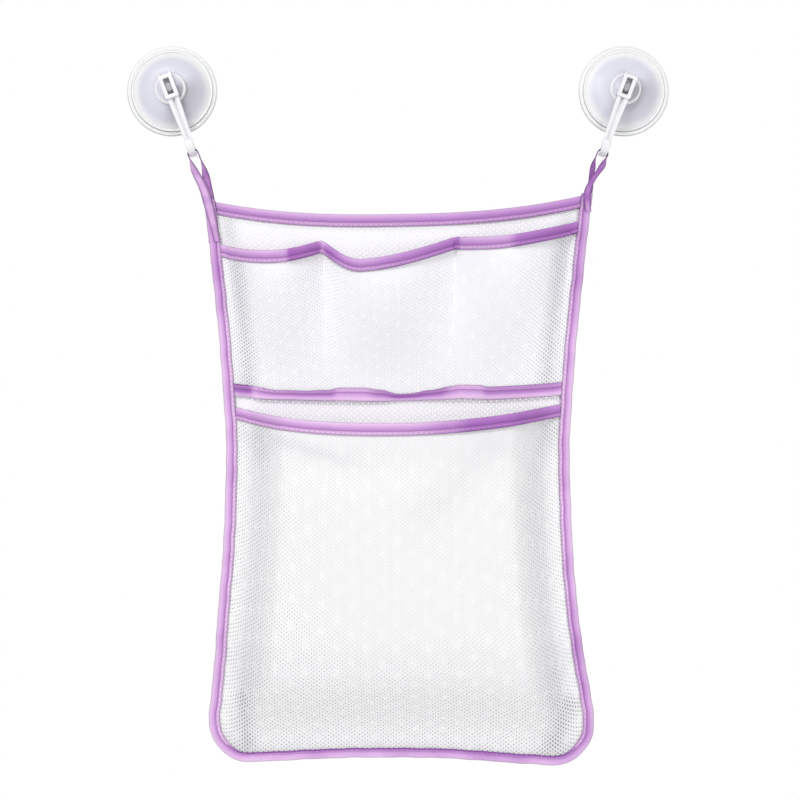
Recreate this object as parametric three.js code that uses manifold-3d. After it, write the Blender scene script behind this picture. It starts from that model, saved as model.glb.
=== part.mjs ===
// Bath toy organizer: a white net bag with one wide lower pocket and three small upper pockets,
// bound all round with satin tape and hung by two tape loops from hooks that swivel on suction cups.
// Millimetres, +Z up. The origin lies on the wall, midway between the axes of the two cups.
// +X is to the right as seen from the front, and the front faces -Y.
import * as THREE from "three";
import { mergeVertices } from "three/addons/utils/BufferGeometryUtils.js";
import Module from "manifold-3d";

// Clearances
const RUN_GAP = 0.3; // between hard pieces that turn on or sit against each other
const SEW_GAP = 0.3; // between layers of cloth that are sewn together
const FOLD_GAP = 1.2; // a cloth's edge stops this far short of the fold of its tape
const LOOP_PLAY = 0.7; // a tape loop over its hook, which the hook takes up as it swivels

// Suction cups
const CUP_SPACING = 415; // between the two cup axes
const CUP_RADIUS = 41.5;
const CUP_RIM_THICKNESS = 1.6;
const CUP_SEAL_WIDTH = 5.5; // flat ring of the rim that presses on the wall
const CUP_BEAD_INSET = 5; // raised ring, measured in from the rim's edge
const CUP_BEAD_HEIGHT = 0.9;
const CUP_DOME_HEIGHT = 9; // wall to the foot of the boss
const CUP_HOLLOW = 6; // depth of the suction hollow
const BOSS_RADIUS = 14.5;
const BOSS_HEIGHT = 12.6; // wall to the boss's front
const NECK_RADIUS = 3;
const KNOB_RADIUS = 4.5;
const KNOB_HEIGHT = 3.5;
const CUP_EDGE_ROUND = 1.2;

// Hooks
const HOOK_LEAN = THREE.MathUtils.degToRad(20.5); // both lean in towards the bag
const EYE_FLOOR = 2.2; // plate that the cup's neck passes through
const HEAD_WALL = 1.3;
const HEAD_FRONT = 2.2; // thickness of the ring round the window
const WINDOW_WIDTH = 5.6;
const WINDOW_LENGTH = 15.6;
const WINDOW_BAR = 2.8; // ring above and below the window
const PRONG_WIDTH = 2.2;
const PRONG_RISE = 4.5;
const PRONG_DEPTH = 4;
const ARM_WIDTH = 11;
const ARM_END_WIDTH = 6.8;
const ARM_THICKNESS = 5.6;
const ARM_STEP = 0.5; // the arm's back stands this far in front of the eye plate's back
const ARM_GROOVE = 1.7;
const ARM_GROOVE_TOP = 3.4; // the groove is deeper where it meets the head
const SEAT_REACH = 63.4; // cup axis to the seat that the loop hangs on
const SEAT_THICKNESS = 4.8;
const SEAT_CORNER = 2.2;
const SEAT_RUN = 6.5; // end of the arm over which its grooved face rounds over into the seat
const GROOVE_RUN = 13; // top of the arm over which the deeper groove runs out
const ARM_CHAMFER = 0.7;
const TIP_RISE = 10;
const TIP_ROUND = THREE.MathUtils.degToRad(64); // turn of the face as the tip draws in at its end

// Cloth
const NET = 0.8;
const TAPE = 0.6;
const TAPE_WIDTH = 10.2; // the folded edge binding, from its fold to its free edges
const CROSS_TAPE_WIDTH = 11.4; // the folded bindings across the bag
const LOOP_TAPE = 1.1;
const LOOP_WIDTH = 9;
const LOOP_SLACK = 1.3; // each side of the loop's tape inside the hook
const LOOP_DROP = 41; // hook seat to the bag's left corner
const RIGHT_RISE = 6; // the right corner hangs this much higher
const LOOP_LEG_GAP = 0.4; // between a loop's two legs where they are sewn

// Bag outline, on the middle of the edge binding; drops are measured down from the left corner
const TOP_HALF_WIDTH = 169.8;
const WAIST_HALF_WIDTH = 149.7;
const WAIST_DROP = 225;
const FOOT_HALF_WIDTH = 168.2;
const FOOT_DROP = 461;
const BAG_DROP = 501.5;
const BOTTOM_CORNER_RADIUS = 32;
const BOTTOM_RISE = 4.5; // the middle of the bottom edge is drawn up
const RIGHT_DROOP = 3; // the right bottom corner hangs this much lower
const FOOT_SHIFT = 3.2; // the foot hangs this far to the right
const SHIFT_DROP = 360; // from here down
const SHIFT_RUN = 110;
const SHOULDER_CURVE = 1.4; // how late the sides open out above the waist
const FOOT_CURVE = 1.9; // and below it
const TOP_EDGE_DROP = 5.6;
const TOP_EDGE_SAG = 15.6;
const SAG_CURVE = 2.6; // flatness of a hanging edge

// Upper pockets: one panel, sewn down at two dividers
const DIVIDER_LEFT = 68; // left of the middle
const DIVIDER_RIGHT = 52; // right of the middle
const MOUTH_LEFT_DROP = 43;
const DIVIDER_LEFT_DROP = 42;
const DIVIDER_RIGHT_DROP = 39;
const MOUTH_RIGHT_DROP = 22;
const MOUTH_LEFT_SAG = 11.5;
const MOUTH_MIDDLE_SAG = 20;
const MOUTH_RIGHT_SAG = 8;
const MOUTH_LEFT_LOW = 0.55; // share of a pocket's width at which its mouth hangs lowest
const MOUTH_MIDDLE_LOW = 0.3;
const MOUTH_RIGHT_LOW = 0.42;
const UPPER_BULGE = 26;
const UPPER_SEAM_DROP = 171;
const UPPER_SEAM_SAG = 5.5;

// Lower pocket
const LOWER_MOUTH_DROP = 190;
const LOWER_MOUTH_SAG = 17;
const LOWER_MOUTH_RISE = 2; // its right end is higher
const LOWER_MOUTH_CURVE = 1.8; // and its right half less flat
const LOWER_BULGE = 38;
const LOWER_MOUTH_CLOSE = 0.2; // share of the bulge that the mouth gives up
const SEAM_MARGIN = 14; // cloth beside a seam lies flat this far
const FLANK_WIDTH = 44; // then stands out over this width
const FLOOR_RISE = 70; // and over this height above the bottom seam

// Facets, and the spans that meshing needs
const CUP_FACETS = 32;
const HOLLOW_STEPS = 6;
const DOME_STEPS = 5;
const CORNER_STEPS = 5; // round the corners of the hook's head
const FACE_STEPS = 8; // across the arm's front, with the groove in the middle
const ARM_STEPS = 6;
const BEND_STEPS = 4; // round each corner of the seat, and up the tip
const CROWN_STEPS = 10; // a loop's turn over the hook
const LEG_STEPS = 12;
const BACK_COLUMNS = 24;
const PANEL_ROWS = 8;
const SIDE_POCKET_COLUMNS = 10;
const MIDDLE_POCKET_COLUMNS = 12;
const LOWER_COLUMNS = 26;
const LOWER_ROWS = 16;
const TAPE_STEPS = 22; // along a tape across the bag
const SIDE_STEPS = 20; // along the edge binding: a side, a corner and half the bottom
const TURN_STEPS = 6;
const BOTTOM_STEPS = 6;
const WELD = 1e-4; // corners nearer than this are one
const OVERCUT = 1; // a cut runs this far past an open face
const NUDGE = 1e-3; // share of the width used to find an edge's direction

const wasm = await Module();
wasm.setup();

const smooth = (t) => THREE.MathUtils.smoothstep(t, 0, 1);
const lerp = THREE.MathUtils.lerp;
const steps = (from, to, count) => Array.from({ length: count + 1 }, (_, i) => lerp(from, to, i / count));

// Six times the signed volume inside an indexed surface.
function signedVolume(positions, index) {
  const corner = (i) => new THREE.Vector3().fromArray(positions, 3 * i);
  let sum = 0;
  for (let i = 0; i < index.length; i += 3)
    sum += corner(index[i]).dot(corner(index[i + 1]).cross(corner(index[i + 2])));
  return sum;
}

// A closed surface from corner positions and triangles, turned so that its faces point out.
function closedSurface(positions, index) {
  if (signedVolume(positions, index) < 0) index.reverse();
  const geometry = new THREE.BufferGeometry();
  geometry.setAttribute("position", new THREE.Float32BufferAttribute(positions, 3));
  geometry.setIndex(index);
  return geometry;
}

// Three.js geometry with its doubled corners merged, as one closed surface.
function welded(geometry) {
  geometry.deleteAttribute("normal");
  geometry.deleteAttribute("uv");
  const merged = mergeVertices(geometry, WELD);
  return closedSurface([...merged.attributes.position.array], [...merged.index.array]);
}

function solidOf(geometry) {
  return new wasm.Manifold(
    new wasm.Mesh({
      numProp: 3,
      vertProperties: new Float32Array(geometry.attributes.position.array),
      triVerts: new Uint32Array(geometry.index.array),
    }),
  );
}

function geometryOf(solid) {
  const mesh = solid.getMesh();
  return closedSurface([...mesh.vertProperties], [...mesh.triVerts]);
}

// A solid skinned over stations along a path. Each station has an origin, two axes and a section:
// corner points given along those two axes.
function skinned(stations) {
  const count = stations[0].section.length;
  const positions = stations.flatMap(({ origin, across, along, section }) =>
    section.flatMap(([a, b]) => {
      const corner = origin.clone().addScaledVector(across, a).addScaledVector(along, b);
      return corner.toArray();
    }),
  );
  const index = [];
  for (let ring = 0; ring < stations.length - 1; ring++)
    for (let i = 0; i < count; i++) {
      const here = ring * count + i;
      const beside = ring * count + ((i + 1) % count);
      index.push(here, beside, here + count, beside, beside + count, here + count);
    }
  const flat = ({ section }) => section.map(([a, b]) => new THREE.Vector2(a, b));
  const clockwise = THREE.ShapeUtils.isClockWise(flat(stations[0]));
  const cap = (station, first, turned) => {
    for (const [a, b, c] of THREE.ShapeUtils.triangulateShape(flat(station), []))
      index.push(first + a, first + (turned ? c : b), first + (turned ? b : c));
  };
  cap(stations[0], 0, !clockwise);
  cap(stations[stations.length - 1], (stations.length - 1) * count, clockwise);
  return closedSurface(positions, index);
}

// A sheet of net as a thin closed solid: columns across, rows down, middle(u, row) its middle surface.
function netSheet(columns, rows, middle) {
  const positions = [];
  const index = [];
  const size = columns.length * rows;
  for (const side of [NET / 2, -NET / 2])
    for (const u of columns)
      for (let row = 0; row < rows; row++) {
        const point = middle(u, row);
        positions.push(point.x, point.y + side, point.z);
      }
  const at = (column, row, side) => side * size + column * rows + row;
  const quad = (a, b, c, d) => index.push(a, b, c, a, c, d);
  for (let c = 0; c < columns.length - 1; c++)
    for (let r = 0; r < rows - 1; r++) {
      quad(at(c, r, 0), at(c, r + 1, 0), at(c + 1, r + 1, 0), at(c + 1, r, 0));
      quad(at(c, r, 1), at(c + 1, r, 1), at(c + 1, r + 1, 1), at(c, r + 1, 1));
    }
  const right = columns.length - 1;
  const foot = rows - 1;
  for (let c = 0; c < right; c++) {
    quad(at(c, 0, 0), at(c + 1, 0, 0), at(c + 1, 0, 1), at(c, 0, 1));
    quad(at(c, foot, 1), at(c + 1, foot, 1), at(c + 1, foot, 0), at(c, foot, 0));
  }
  for (let r = 0; r < foot; r++) {
    quad(at(0, r, 1), at(0, r + 1, 1), at(0, r + 1, 0), at(0, r, 0));
    quad(at(right, r, 0), at(right, r + 1, 0), at(right, r + 1, 1), at(right, r, 1));
  }
  return closedSurface(positions, index);
}

// An outline in X and Z raised from one distance in front of the wall to another.
function raised(shape, from, to) {
  const geometry = new THREE.ExtrudeGeometry(shape, {
    depth: to - from,
    bevelEnabled: false,
    curveSegments: CORNER_STEPS,
  });
  geometry.translate(0, 0, from);
  geometry.rotateX(Math.PI / 2);
  return solidOf(welded(geometry));
}

function roundedRectangle(left, right, bottom, top, radius) {
  const shape = new THREE.Shape();
  shape.absarc(right - radius, top - radius, radius, 0, Math.PI / 2);
  shape.absarc(left + radius, top - radius, radius, Math.PI / 2, Math.PI);
  shape.absarc(left + radius, bottom + radius, radius, Math.PI, 1.5 * Math.PI);
  shape.absarc(right - radius, bottom + radius, radius, 1.5 * Math.PI, 2 * Math.PI);
  return shape;
}

// Materials
const clearVinyl = new THREE.MeshStandardMaterial({ color: 0xe4e2ee, roughness: 0.2, metalness: 0 });
const whitePlastic = new THREE.MeshStandardMaterial({ color: 0xf4f4f6, roughness: 0.3, metalness: 0 });
const whiteNet = new THREE.MeshStandardMaterial({ color: 0xf2f2f4, roughness: 0.9, metalness: 0 });
const satinTape = new THREE.MeshStandardMaterial({ color: 0xc48ad8, roughness: 0.5, metalness: 0 });

const part = new THREE.Group();

function addPiece(name, geometry, material, parent = part) {
  const mesh = new THREE.Mesh(geometry, material);
  mesh.name = name;
  parent.add(mesh);
}

// Distances in front of the wall where the cup, the hook and the bag meet
const eyeBack = BOSS_HEIGHT + RUN_GAP;
const eyeFront = eyeBack + EYE_FLOOR;
const knobBack = eyeFront + RUN_GAP;
const knobFront = knobBack + KNOB_HEIGHT;
const headFront = knobFront + RUN_GAP + HEAD_FRONT;
const armFront = eyeBack + ARM_STEP + ARM_THICKNESS;
const tipBack = armFront + LOOP_WIDTH + 2 * LOOP_SLACK;
const bagMiddle = -(armFront + tipBack) / 2;

// Suction cup: a turned dome with a flat sealing rim, a bead, a boss and a mushroom knob.
function suctionCup() {
  const sealInside = CUP_RADIUS - CUP_SEAL_WIDTH;
  const beadRadius = CUP_RADIUS - CUP_BEAD_INSET;
  const hollow = steps(0, 1, HOLLOW_STEPS).map((t) => [sealInside * t, CUP_HOLLOW * (1 - t ** 2)]);
  const beadTop = CUP_RIM_THICKNESS + CUP_BEAD_HEIGHT;
  const domeFrom = beadRadius - CUP_EDGE_ROUND;
  const domeTo = BOSS_RADIUS + CUP_EDGE_ROUND;
  const domeRise = CUP_DOME_HEIGHT - CUP_RIM_THICKNESS;
  const dome = steps(0, 1, DOME_STEPS).map((t) => [
    lerp(domeFrom, domeTo, t),
    CUP_RIM_THICKNESS + domeRise * Math.sin((t * Math.PI) / 2),
  ]);
  const profile = [
    ...hollow,
    [CUP_RADIUS, 0],
    [CUP_RADIUS, CUP_RIM_THICKNESS],
    [beadRadius + CUP_EDGE_ROUND, CUP_RIM_THICKNESS],
    [beadRadius, beadTop],
    ...dome,
    [BOSS_RADIUS, CUP_DOME_HEIGHT + CUP_EDGE_ROUND],
    [BOSS_RADIUS, BOSS_HEIGHT - CUP_EDGE_ROUND],
    [BOSS_RADIUS - CUP_EDGE_ROUND, BOSS_HEIGHT],
    [NECK_RADIUS, BOSS_HEIGHT],
    [NECK_RADIUS, knobBack],
    [KNOB_RADIUS, knobBack],
    [KNOB_RADIUS, knobFront - CUP_EDGE_ROUND],
    [KNOB_RADIUS - CUP_EDGE_ROUND, knobFront],
    [0, knobFront],
  ];
  const turned = profile.map(([radius, out]) => new THREE.Vector2(radius, -out));
  return welded(new THREE.LatheGeometry(turned, CUP_FACETS));
}

// Hook arm, seat and tip as one bar. It follows the inside line of the J. The arm has two rails with a
// groove between them, and the seat is rounded for the tape.
function hookBar(armTop) {
  const inside = new THREE.Path();
  inside.moveTo(armFront, armTop);
  inside.lineTo(armFront, -SEAT_REACH + SEAT_CORNER);
  inside.absarc(armFront + SEAT_CORNER, -SEAT_REACH + SEAT_CORNER, SEAT_CORNER, Math.PI, 1.5 * Math.PI);
  inside.lineTo(tipBack - SEAT_CORNER, -SEAT_REACH);
  inside.absarc(tipBack - SEAT_CORNER, -SEAT_REACH + SEAT_CORNER, SEAT_CORNER, 1.5 * Math.PI, 2 * Math.PI);
  inside.lineTo(tipBack, -SEAT_REACH + TIP_RISE);
  const [arm, bend, seat, secondBend, whole] = inside.getCurveLengths();
  const distances = [
    ...steps(0, arm, ARM_STEPS),
    ...steps(arm, bend, BEND_STEPS).slice(1),
    ...steps(seat, secondBend, BEND_STEPS),
    ...steps(secondBend, whole, BEND_STEPS).slice(1),
  ];
  const stations = distances.map((distance) => {
    const point = inside.getPointAt(distance / whole);
    const tangent = inside.getTangentAt(distance / whole);
    const down = Math.min(distance, arm);
    const onTip = Math.max((distance - secondBend) / (whole - secondBend), 0);
    const endRound = Math.cos(TIP_ROUND * onTip ** 3);
    const half = (lerp(ARM_WIDTH, ARM_END_WIDTH, down / arm) / 2) * endRound;
    const thick = lerp(ARM_THICKNESS, SEAT_THICKNESS, down / arm) * endRound;
    const groove = lerp(ARM_GROOVE_TOP, ARM_GROOVE, Math.min(down / GROOVE_RUN, 1));
    const roundness = smooth(1 - (arm - down) / SEAT_RUN);
    const edge = ARM_CHAMFER * endRound;
    const innerFace = steps(0, Math.PI, FACE_STEPS).map((angle, i) => {
      const grooved = i === FACE_STEPS / 2 ? groove : 0;
      const flat = i % FACE_STEPS === 0 ? edge : grooved;
      return [-half * Math.cos(angle), lerp(flat, half * (1 - Math.sin(angle)), roundness)];
    });
    const outerFace = [
      [half, thick - edge],
      [half - edge, thick],
      [edge - half, thick],
      [-half, thick - edge],
    ];
    return {
      origin: new THREE.Vector3(0, -point.x, point.y),
      across: new THREE.Vector3(1, 0, 0),
      along: new THREE.Vector3(0, -tangent.y, -tangent.x),
      section: [...innerFace, ...outerFace],
    };
  });
  return solidOf(skinned(stations));
}

// Hook: a boxed head that snaps over the cup's knob, with a window in front, two prongs above,
// and the arm, seat and tip below.
function hook() {
  const roomWidth = KNOB_RADIUS + RUN_GAP;
  const roomLength = Math.max(roomWidth, WINDOW_LENGTH / 2);
  const headWidth = Math.max(roomWidth, WINDOW_WIDTH / 2) + HEAD_WALL;
  const headLength = WINDOW_LENGTH / 2 + WINDOW_BAR;
  const corner = HEAD_WALL;
  const eye = new THREE.Shape().absarc(0, 0, NECK_RADIUS + RUN_GAP, 0, 2 * Math.PI);
  const outline = roundedRectangle(-headWidth, headWidth, -headLength, headLength, corner);
  const room = roundedRectangle(-roomWidth, roomWidth, -roomLength, roomLength, corner / 2);
  const windowShape = roundedRectangle(
    -WINDOW_WIDTH / 2,
    WINDOW_WIDTH / 2,
    -WINDOW_LENGTH / 2,
    WINDOW_LENGTH / 2,
    corner / 2,
  );
  let solid = raised(outline, eyeBack, headFront);
  for (const side of [-1, 1]) {
    const middle = side * (headWidth - PRONG_WIDTH / 2);
    const prong = roundedRectangle(
      middle - PRONG_WIDTH / 2,
      middle + PRONG_WIDTH / 2,
      headLength - WINDOW_BAR / 2,
      headLength + PRONG_RISE,
      PRONG_WIDTH / 3,
    );
    solid = solid.add(raised(prong, eyeBack, eyeBack + PRONG_DEPTH));
  }
  solid = solid.add(hookBar(-headLength + WINDOW_BAR / 2));
  solid = solid.subtract(raised(eye, eyeBack - OVERCUT, knobBack));
  solid = solid.subtract(raised(room, eyeFront, knobFront + RUN_GAP));
  solid = solid.subtract(raised(windowShape, knobFront, headFront + OVERCUT));
  return geometryOf(solid);
}

for (const [name, side] of [
  ["left", -1],
  ["right", 1],
]) {
  const anchor = new THREE.Group();
  anchor.position.x = (side * CUP_SPACING) / 2;
  part.add(anchor);
  addPiece(`${name}_suction_cup`, suctionCup(), clearVinyl, anchor);
  const swivel = new THREE.Group();
  swivel.rotation.y = side * HOOK_LEAN;
  anchor.add(swivel);
  addPiece(`${name}_hook`, hook(), whitePlastic, swivel);
}

// Where the loops hang and where the bag's top corners lie
const barRadius = ARM_END_WIDTH / 2;
const hangReach = SEAT_REACH + barRadius;
const hangX = CUP_SPACING / 2 - hangReach * Math.sin(HOOK_LEAN);
const hangZ = -hangReach * Math.cos(HOOK_LEAN);
const cornerZ = hangZ - LOOP_DROP;
const cornerHeight = (side) => (side > 0 ? cornerZ + RIGHT_RISE : cornerZ);

// Hanging loop: a flat tape that goes up from the bag's corner, over the hook and down again. Its two
// legs lie one before the other at the corner and turn a quarter about each other on the way up.
function hangingLoop(side) {
  const top = new THREE.Vector3(side * hangX, bagMiddle, hangZ);
  const cornerX = side * halfWidth(cornerHeight(side));
  const bottom = new THREE.Vector3(cornerX, bagMiddle, cornerHeight(side));
  const up = top.clone().sub(bottom).normalize();
  const back = new THREE.Vector3(0, 1, 0);
  const square = back.clone().cross(up).multiplyScalar(side);
  const level = new THREE.Vector3(side, 0, 0);
  const topSpread = barRadius + LOOP_PLAY + LOOP_TAPE / 2;
  const bottomSpread = (LOOP_TAPE + LOOP_LEG_GAP) / 2;
  const section = [
    [-LOOP_TAPE / 2, -LOOP_WIDTH / 2],
    [LOOP_TAPE / 2, -LOOP_WIDTH / 2],
    [LOOP_TAPE / 2, LOOP_WIDTH / 2],
    [-LOOP_TAPE / 2, LOOP_WIDTH / 2],
  ];
  const leg = (t, sign) => {
    const turn = smooth(t) * (Math.PI / 2);
    const outward = square.clone().lerp(level, t * t).normalize();
    const normal = outward.clone().multiplyScalar(Math.cos(turn)).addScaledVector(back, -Math.sin(turn));
    const wide = back.clone().multiplyScalar(Math.cos(turn)).addScaledVector(outward, Math.sin(turn));
    const spread = lerp(topSpread, bottomSpread, smooth(t));
    return {
      origin: top.clone().lerp(bottom, t).addScaledVector(normal, sign * spread),
      across: normal.multiplyScalar(sign),
      along: wide,
      section,
    };
  };
  const crown = steps(0, Math.PI, CROWN_STEPS).slice(1, -1).map((angle) => {
    const normal = square.clone().multiplyScalar(Math.cos(angle)).addScaledVector(up, Math.sin(angle));
    return { origin: top.clone().addScaledVector(normal, topSpread), across: normal, along: back, section };
  });
  const legSteps = steps(0, 1, LEG_STEPS);
  const rising = legSteps.toReversed().map((t) => leg(t, 1));
  return skinned([...rising, ...crown, ...legSteps.map((t) => leg(t, -1))]);
}

addPiece("left_loop", hangingLoop(-1), satinTape);
addPiece("right_loop", hangingLoop(1), satinTape);

// Bag layers: the back panel, then room for a folded tape, then the pocket panels
const layerPitch = NET + TAPE + 2 * SEW_GAP;
const backY = bagMiddle + layerPitch / 2;
const pocketY = bagMiddle - layerPitch / 2;
const edgeReach = TAPE_WIDTH / 2 - TAPE - FOLD_GAP; // cloth runs this far past the binding's middle

const bottomZ = cornerZ - BAG_DROP;
const footInside = FOOT_HALF_WIDTH - BOTTOM_CORNER_RADIUS;

// Half the bag's width, to the middle of the side binding.
function halfWidth(z) {
  const drop = cornerZ - z;
  if (drop < WAIST_DROP) {
    const above = (WAIST_DROP - drop) / WAIST_DROP;
    return lerp(WAIST_HALF_WIDTH, TOP_HALF_WIDTH, above ** SHOULDER_CURVE);
  }
  const below = Math.min((drop - WAIST_DROP) / (FOOT_DROP - WAIST_DROP), 1);
  return lerp(WAIST_HALF_WIDTH, FOOT_HALF_WIDTH, below ** FOOT_CURVE);
}

const clothHalfWidth = (z) => halfWidth(z) + edgeReach;
const middleX = (z) => FOOT_SHIFT * smooth((cornerZ - z - SHIFT_DROP) / SHIFT_RUN);
const footZ = (x) => bottomZ - RIGHT_DROOP * smooth(x / footInside);
const bottomLine = (x) => footZ(x) + BOTTOM_RISE * (1 - (x / footInside) ** 2);

// Lower edge of the cloth in column u, round the bottom corners. Columns run from -1 at the left to 1.
function clothBottom(u) {
  const x = u * (FOOT_HALF_WIDTH + edgeReach);
  const beyond = Math.abs(x) - footInside;
  if (beyond < 0) return bottomLine(x) - edgeReach;
  const reach = BOTTOM_CORNER_RADIUS + edgeReach;
  return footZ(x) + BOTTOM_CORNER_RADIUS - Math.sqrt(Math.max(reach ** 2 - beyond ** 2, 0));
}

// Hanging edges, on the middle of their bindings
function hang(u, drop, sag, rise = 0, rightCurve = SAG_CURVE) {
  const curve = u < 0 ? SAG_CURVE : rightCurve;
  return cornerZ - drop - sag * (1 - Math.abs(u) ** curve) + (rise * (1 + u)) / 2;
}

const topEdge = (u) => hang(u, TOP_EDGE_DROP, TOP_EDGE_SAG, RIGHT_RISE);
const upperSeam = (u) => hang(u, UPPER_SEAM_DROP, UPPER_SEAM_SAG);
const lowerMouth = (u) => hang(u, LOWER_MOUTH_DROP, LOWER_MOUTH_SAG, LOWER_MOUTH_RISE, LOWER_MOUTH_CURVE);

const dividerLeft = -DIVIDER_LEFT / clothHalfWidth(cornerZ - DIVIDER_LEFT_DROP);
const dividerRight = DIVIDER_RIGHT / clothHalfWidth(cornerZ - DIVIDER_RIGHT_DROP);

// Where the upper pockets start and end from left to right, and how the mouth hangs from each stop on
const stops = [
  { u: -1, drop: MOUTH_LEFT_DROP, sag: MOUTH_LEFT_SAG, low: MOUTH_LEFT_LOW },
  { u: dividerLeft, drop: DIVIDER_LEFT_DROP, sag: MOUTH_MIDDLE_SAG, low: MOUTH_MIDDLE_LOW },
  { u: dividerRight, drop: DIVIDER_RIGHT_DROP, sag: MOUTH_RIGHT_SAG, low: MOUTH_RIGHT_LOW },
  { u: 1, drop: MOUTH_RIGHT_DROP },
];

function pocketAt(u) {
  const next = stops.findIndex((stop) => u <= stop.u);
  const end = next < 0 ? stops.length - 1 : Math.max(next, 1);
  return [stops[end - 1], stops[end]];
}

function upperMouth(u) {
  const [from, to] = pocketAt(u);
  const t = (u - from.u) / (to.u - from.u);
  const quarters = t < from.low ? t / from.low : (1 - t) / (1 - from.low);
  return cornerZ - lerp(from.drop, to.drop, t) - from.sag * Math.sin((quarters * Math.PI) / 2);
}

// How far the upper pockets stand out: each bellies between its seams, most at the mouth.
function upperBulge(u, z) {
  const [from, to] = pocketAt(u);
  const margin = SEAM_MARGIN / clothHalfWidth(z);
  const start = Math.max(from.u, margin - 1);
  const end = Math.min(to.u, 1 - margin);
  const t = THREE.MathUtils.clamp((u - start) / (end - start), 0, 1);
  const seam = upperSeam(u) + SEAM_MARGIN;
  const rise = smooth((z - seam) / (upperMouth(u) - TAPE_WIDTH - seam));
  return UPPER_BULGE * Math.sin(Math.PI * t) * rise;
}

// How far the lower pocket stands out: flat beside its seams, a steep flank, then a broad front.
function lowerBulge(u, z) {
  const fromSide = (1 - Math.abs(u)) * clothHalfWidth(z);
  const fromFloor = z - clothBottom(u);
  const flank = smooth((fromSide - SEAM_MARGIN) / FLANK_WIDTH);
  const floor = smooth((fromFloor - SEAM_MARGIN) / FLOOR_RISE);
  const mouth = LOWER_MOUTH_CLOSE * smooth(1 - (lowerMouth(u) - z) / FLOOR_RISE);
  return LOWER_BULGE * flank * floor * (1 - mouth);
}

const columnX = (u, z) => middleX(z) + u * clothHalfWidth(z);
const backPoint = (u, z) => new THREE.Vector3(columnX(u, z), backY, z);
const upperPoint = (u, z) => new THREE.Vector3(columnX(u, z), pocketY - upperBulge(u, z), z);
const lowerPoint = (u, z) => new THREE.Vector3(columnX(u, z), pocketY - lowerBulge(u, z), z);

// The column at which a tape across the bag stops short of the side binding.
function tapeEnd(z) {
  return (halfWidth(z) - TAPE_WIDTH / 2 - SEW_GAP) / clothHalfWidth(z);
}

// Columns from side to side, with one at each given stop and the spaces between shared out.
function columnsThrough(stops, counts) {
  return [stops[0], ...counts.flatMap((count, i) => steps(stops[i], stops[i + 1], count).slice(1))];
}

// A panel hung between two edges, with a row clear of the tape at each.
function netPanel(columns, innerRows, upper, lower, point) {
  const band = CROSS_TAPE_WIDTH + SEW_GAP;
  const height = (u, row) => {
    const high = upper(u) + edgeReach;
    const low = lower(u);
    if (row === 0) return high;
    if (row === innerRows + 2) return low;
    return lerp(high - band, low + band, (row - 1) / innerRows);
  };
  return netSheet(columns, innerRows + 3, (u, row) => point(u, height(u, row)));
}

// Section of a tape folded over an edge: across the cloth, and from the fold in over the cloth.
function foldedTape(slotHalf, width) {
  const face = slotHalf + TAPE;
  const half = width / 2;
  return [
    [-face, half],
    [-face, TAPE - half],
    [TAPE - face, -half],
    [face - TAPE, -half],
    [face, TAPE - half],
    [face, half],
    [slotHalf, half],
    [slotHalf, TAPE - half],
    [-slotHalf, TAPE - half],
    [-slotHalf, half],
  ];
}

// A tape folded over one edge of a panel. inward is 1 where the cloth lies above it, -1 where below.
function edgeTape(columns, edge, point, inward) {
  const section = foldedTape(NET / 2 + SEW_GAP, CROSS_TAPE_WIDTH);
  const stations = columns.map((u) => {
    const z = edge(u);
    const origin = point(u, z);
    const before = point(u - NUDGE, edge(u - NUDGE));
    const along = point(u, z + inward * edgeReach).sub(origin).normalize();
    const run = point(u + NUDGE, edge(u + NUDGE)).sub(before);
    return { origin, across: along.clone().cross(run).normalize(), along, section };
  });
  return skinned(stations);
}

const backEnds = [tapeEnd(topEdge(-1)), tapeEnd(topEdge(1))];
const upperMouthEnds = [tapeEnd(upperMouth(-1)), tapeEnd(upperMouth(1))];
const upperSeamEnd = tapeEnd(upperSeam(1));
const lowerEnds = [tapeEnd(lowerMouth(-1)), tapeEnd(lowerMouth(1))];

// Corner columns crowd towards the sides, where the bottom corners turn.
const crowded = (count) => steps(-1, 1, count).map((t) => Math.sin((t * Math.PI) / 2));
addPiece(
  "back_panel",
  netPanel(crowded(BACK_COLUMNS), PANEL_ROWS, topEdge, clothBottom, backPoint),
  whiteNet,
);

const upperColumns = columnsThrough(
  [-1, -upperMouthEnds[0], dividerLeft, dividerRight, upperMouthEnds[1], 1],
  [1, SIDE_POCKET_COLUMNS, MIDDLE_POCKET_COLUMNS, SIDE_POCKET_COLUMNS, 1],
);
const upperBottomCloth = (u) => upperSeam(u) - edgeReach;
addPiece(
  "upper_pocket_panel",
  netPanel(upperColumns, PANEL_ROWS, upperMouth, upperBottomCloth, upperPoint),
  whiteNet,
);

const lowerInner = crowded(LOWER_COLUMNS).filter((u) => u > -lowerEnds[0] && u < lowerEnds[1]);
const lowerTapeColumns = [-lowerEnds[0], ...lowerInner, lowerEnds[1]];
addPiece(
  "lower_pocket_panel",
  netPanel([-1, ...lowerTapeColumns, 1], LOWER_ROWS, lowerMouth, clothBottom, lowerPoint),
  whiteNet,
);

addPiece(
  "top_edge_binding",
  edgeTape(steps(-backEnds[0], backEnds[1], TAPE_STEPS), topEdge, backPoint, -1),
  satinTape,
);
addPiece(
  "upper_mouth_binding",
  edgeTape(upperColumns.slice(1, -1), upperMouth, upperPoint, -1),
  satinTape,
);
addPiece(
  "upper_seam_binding",
  edgeTape(steps(-upperSeamEnd, upperSeamEnd, TAPE_STEPS), upperSeam, upperPoint, 1),
  satinTape,
);
addPiece("lower_mouth_binding", edgeTape(lowerTapeColumns, lowerMouth, lowerPoint, -1), satinTape);

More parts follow.
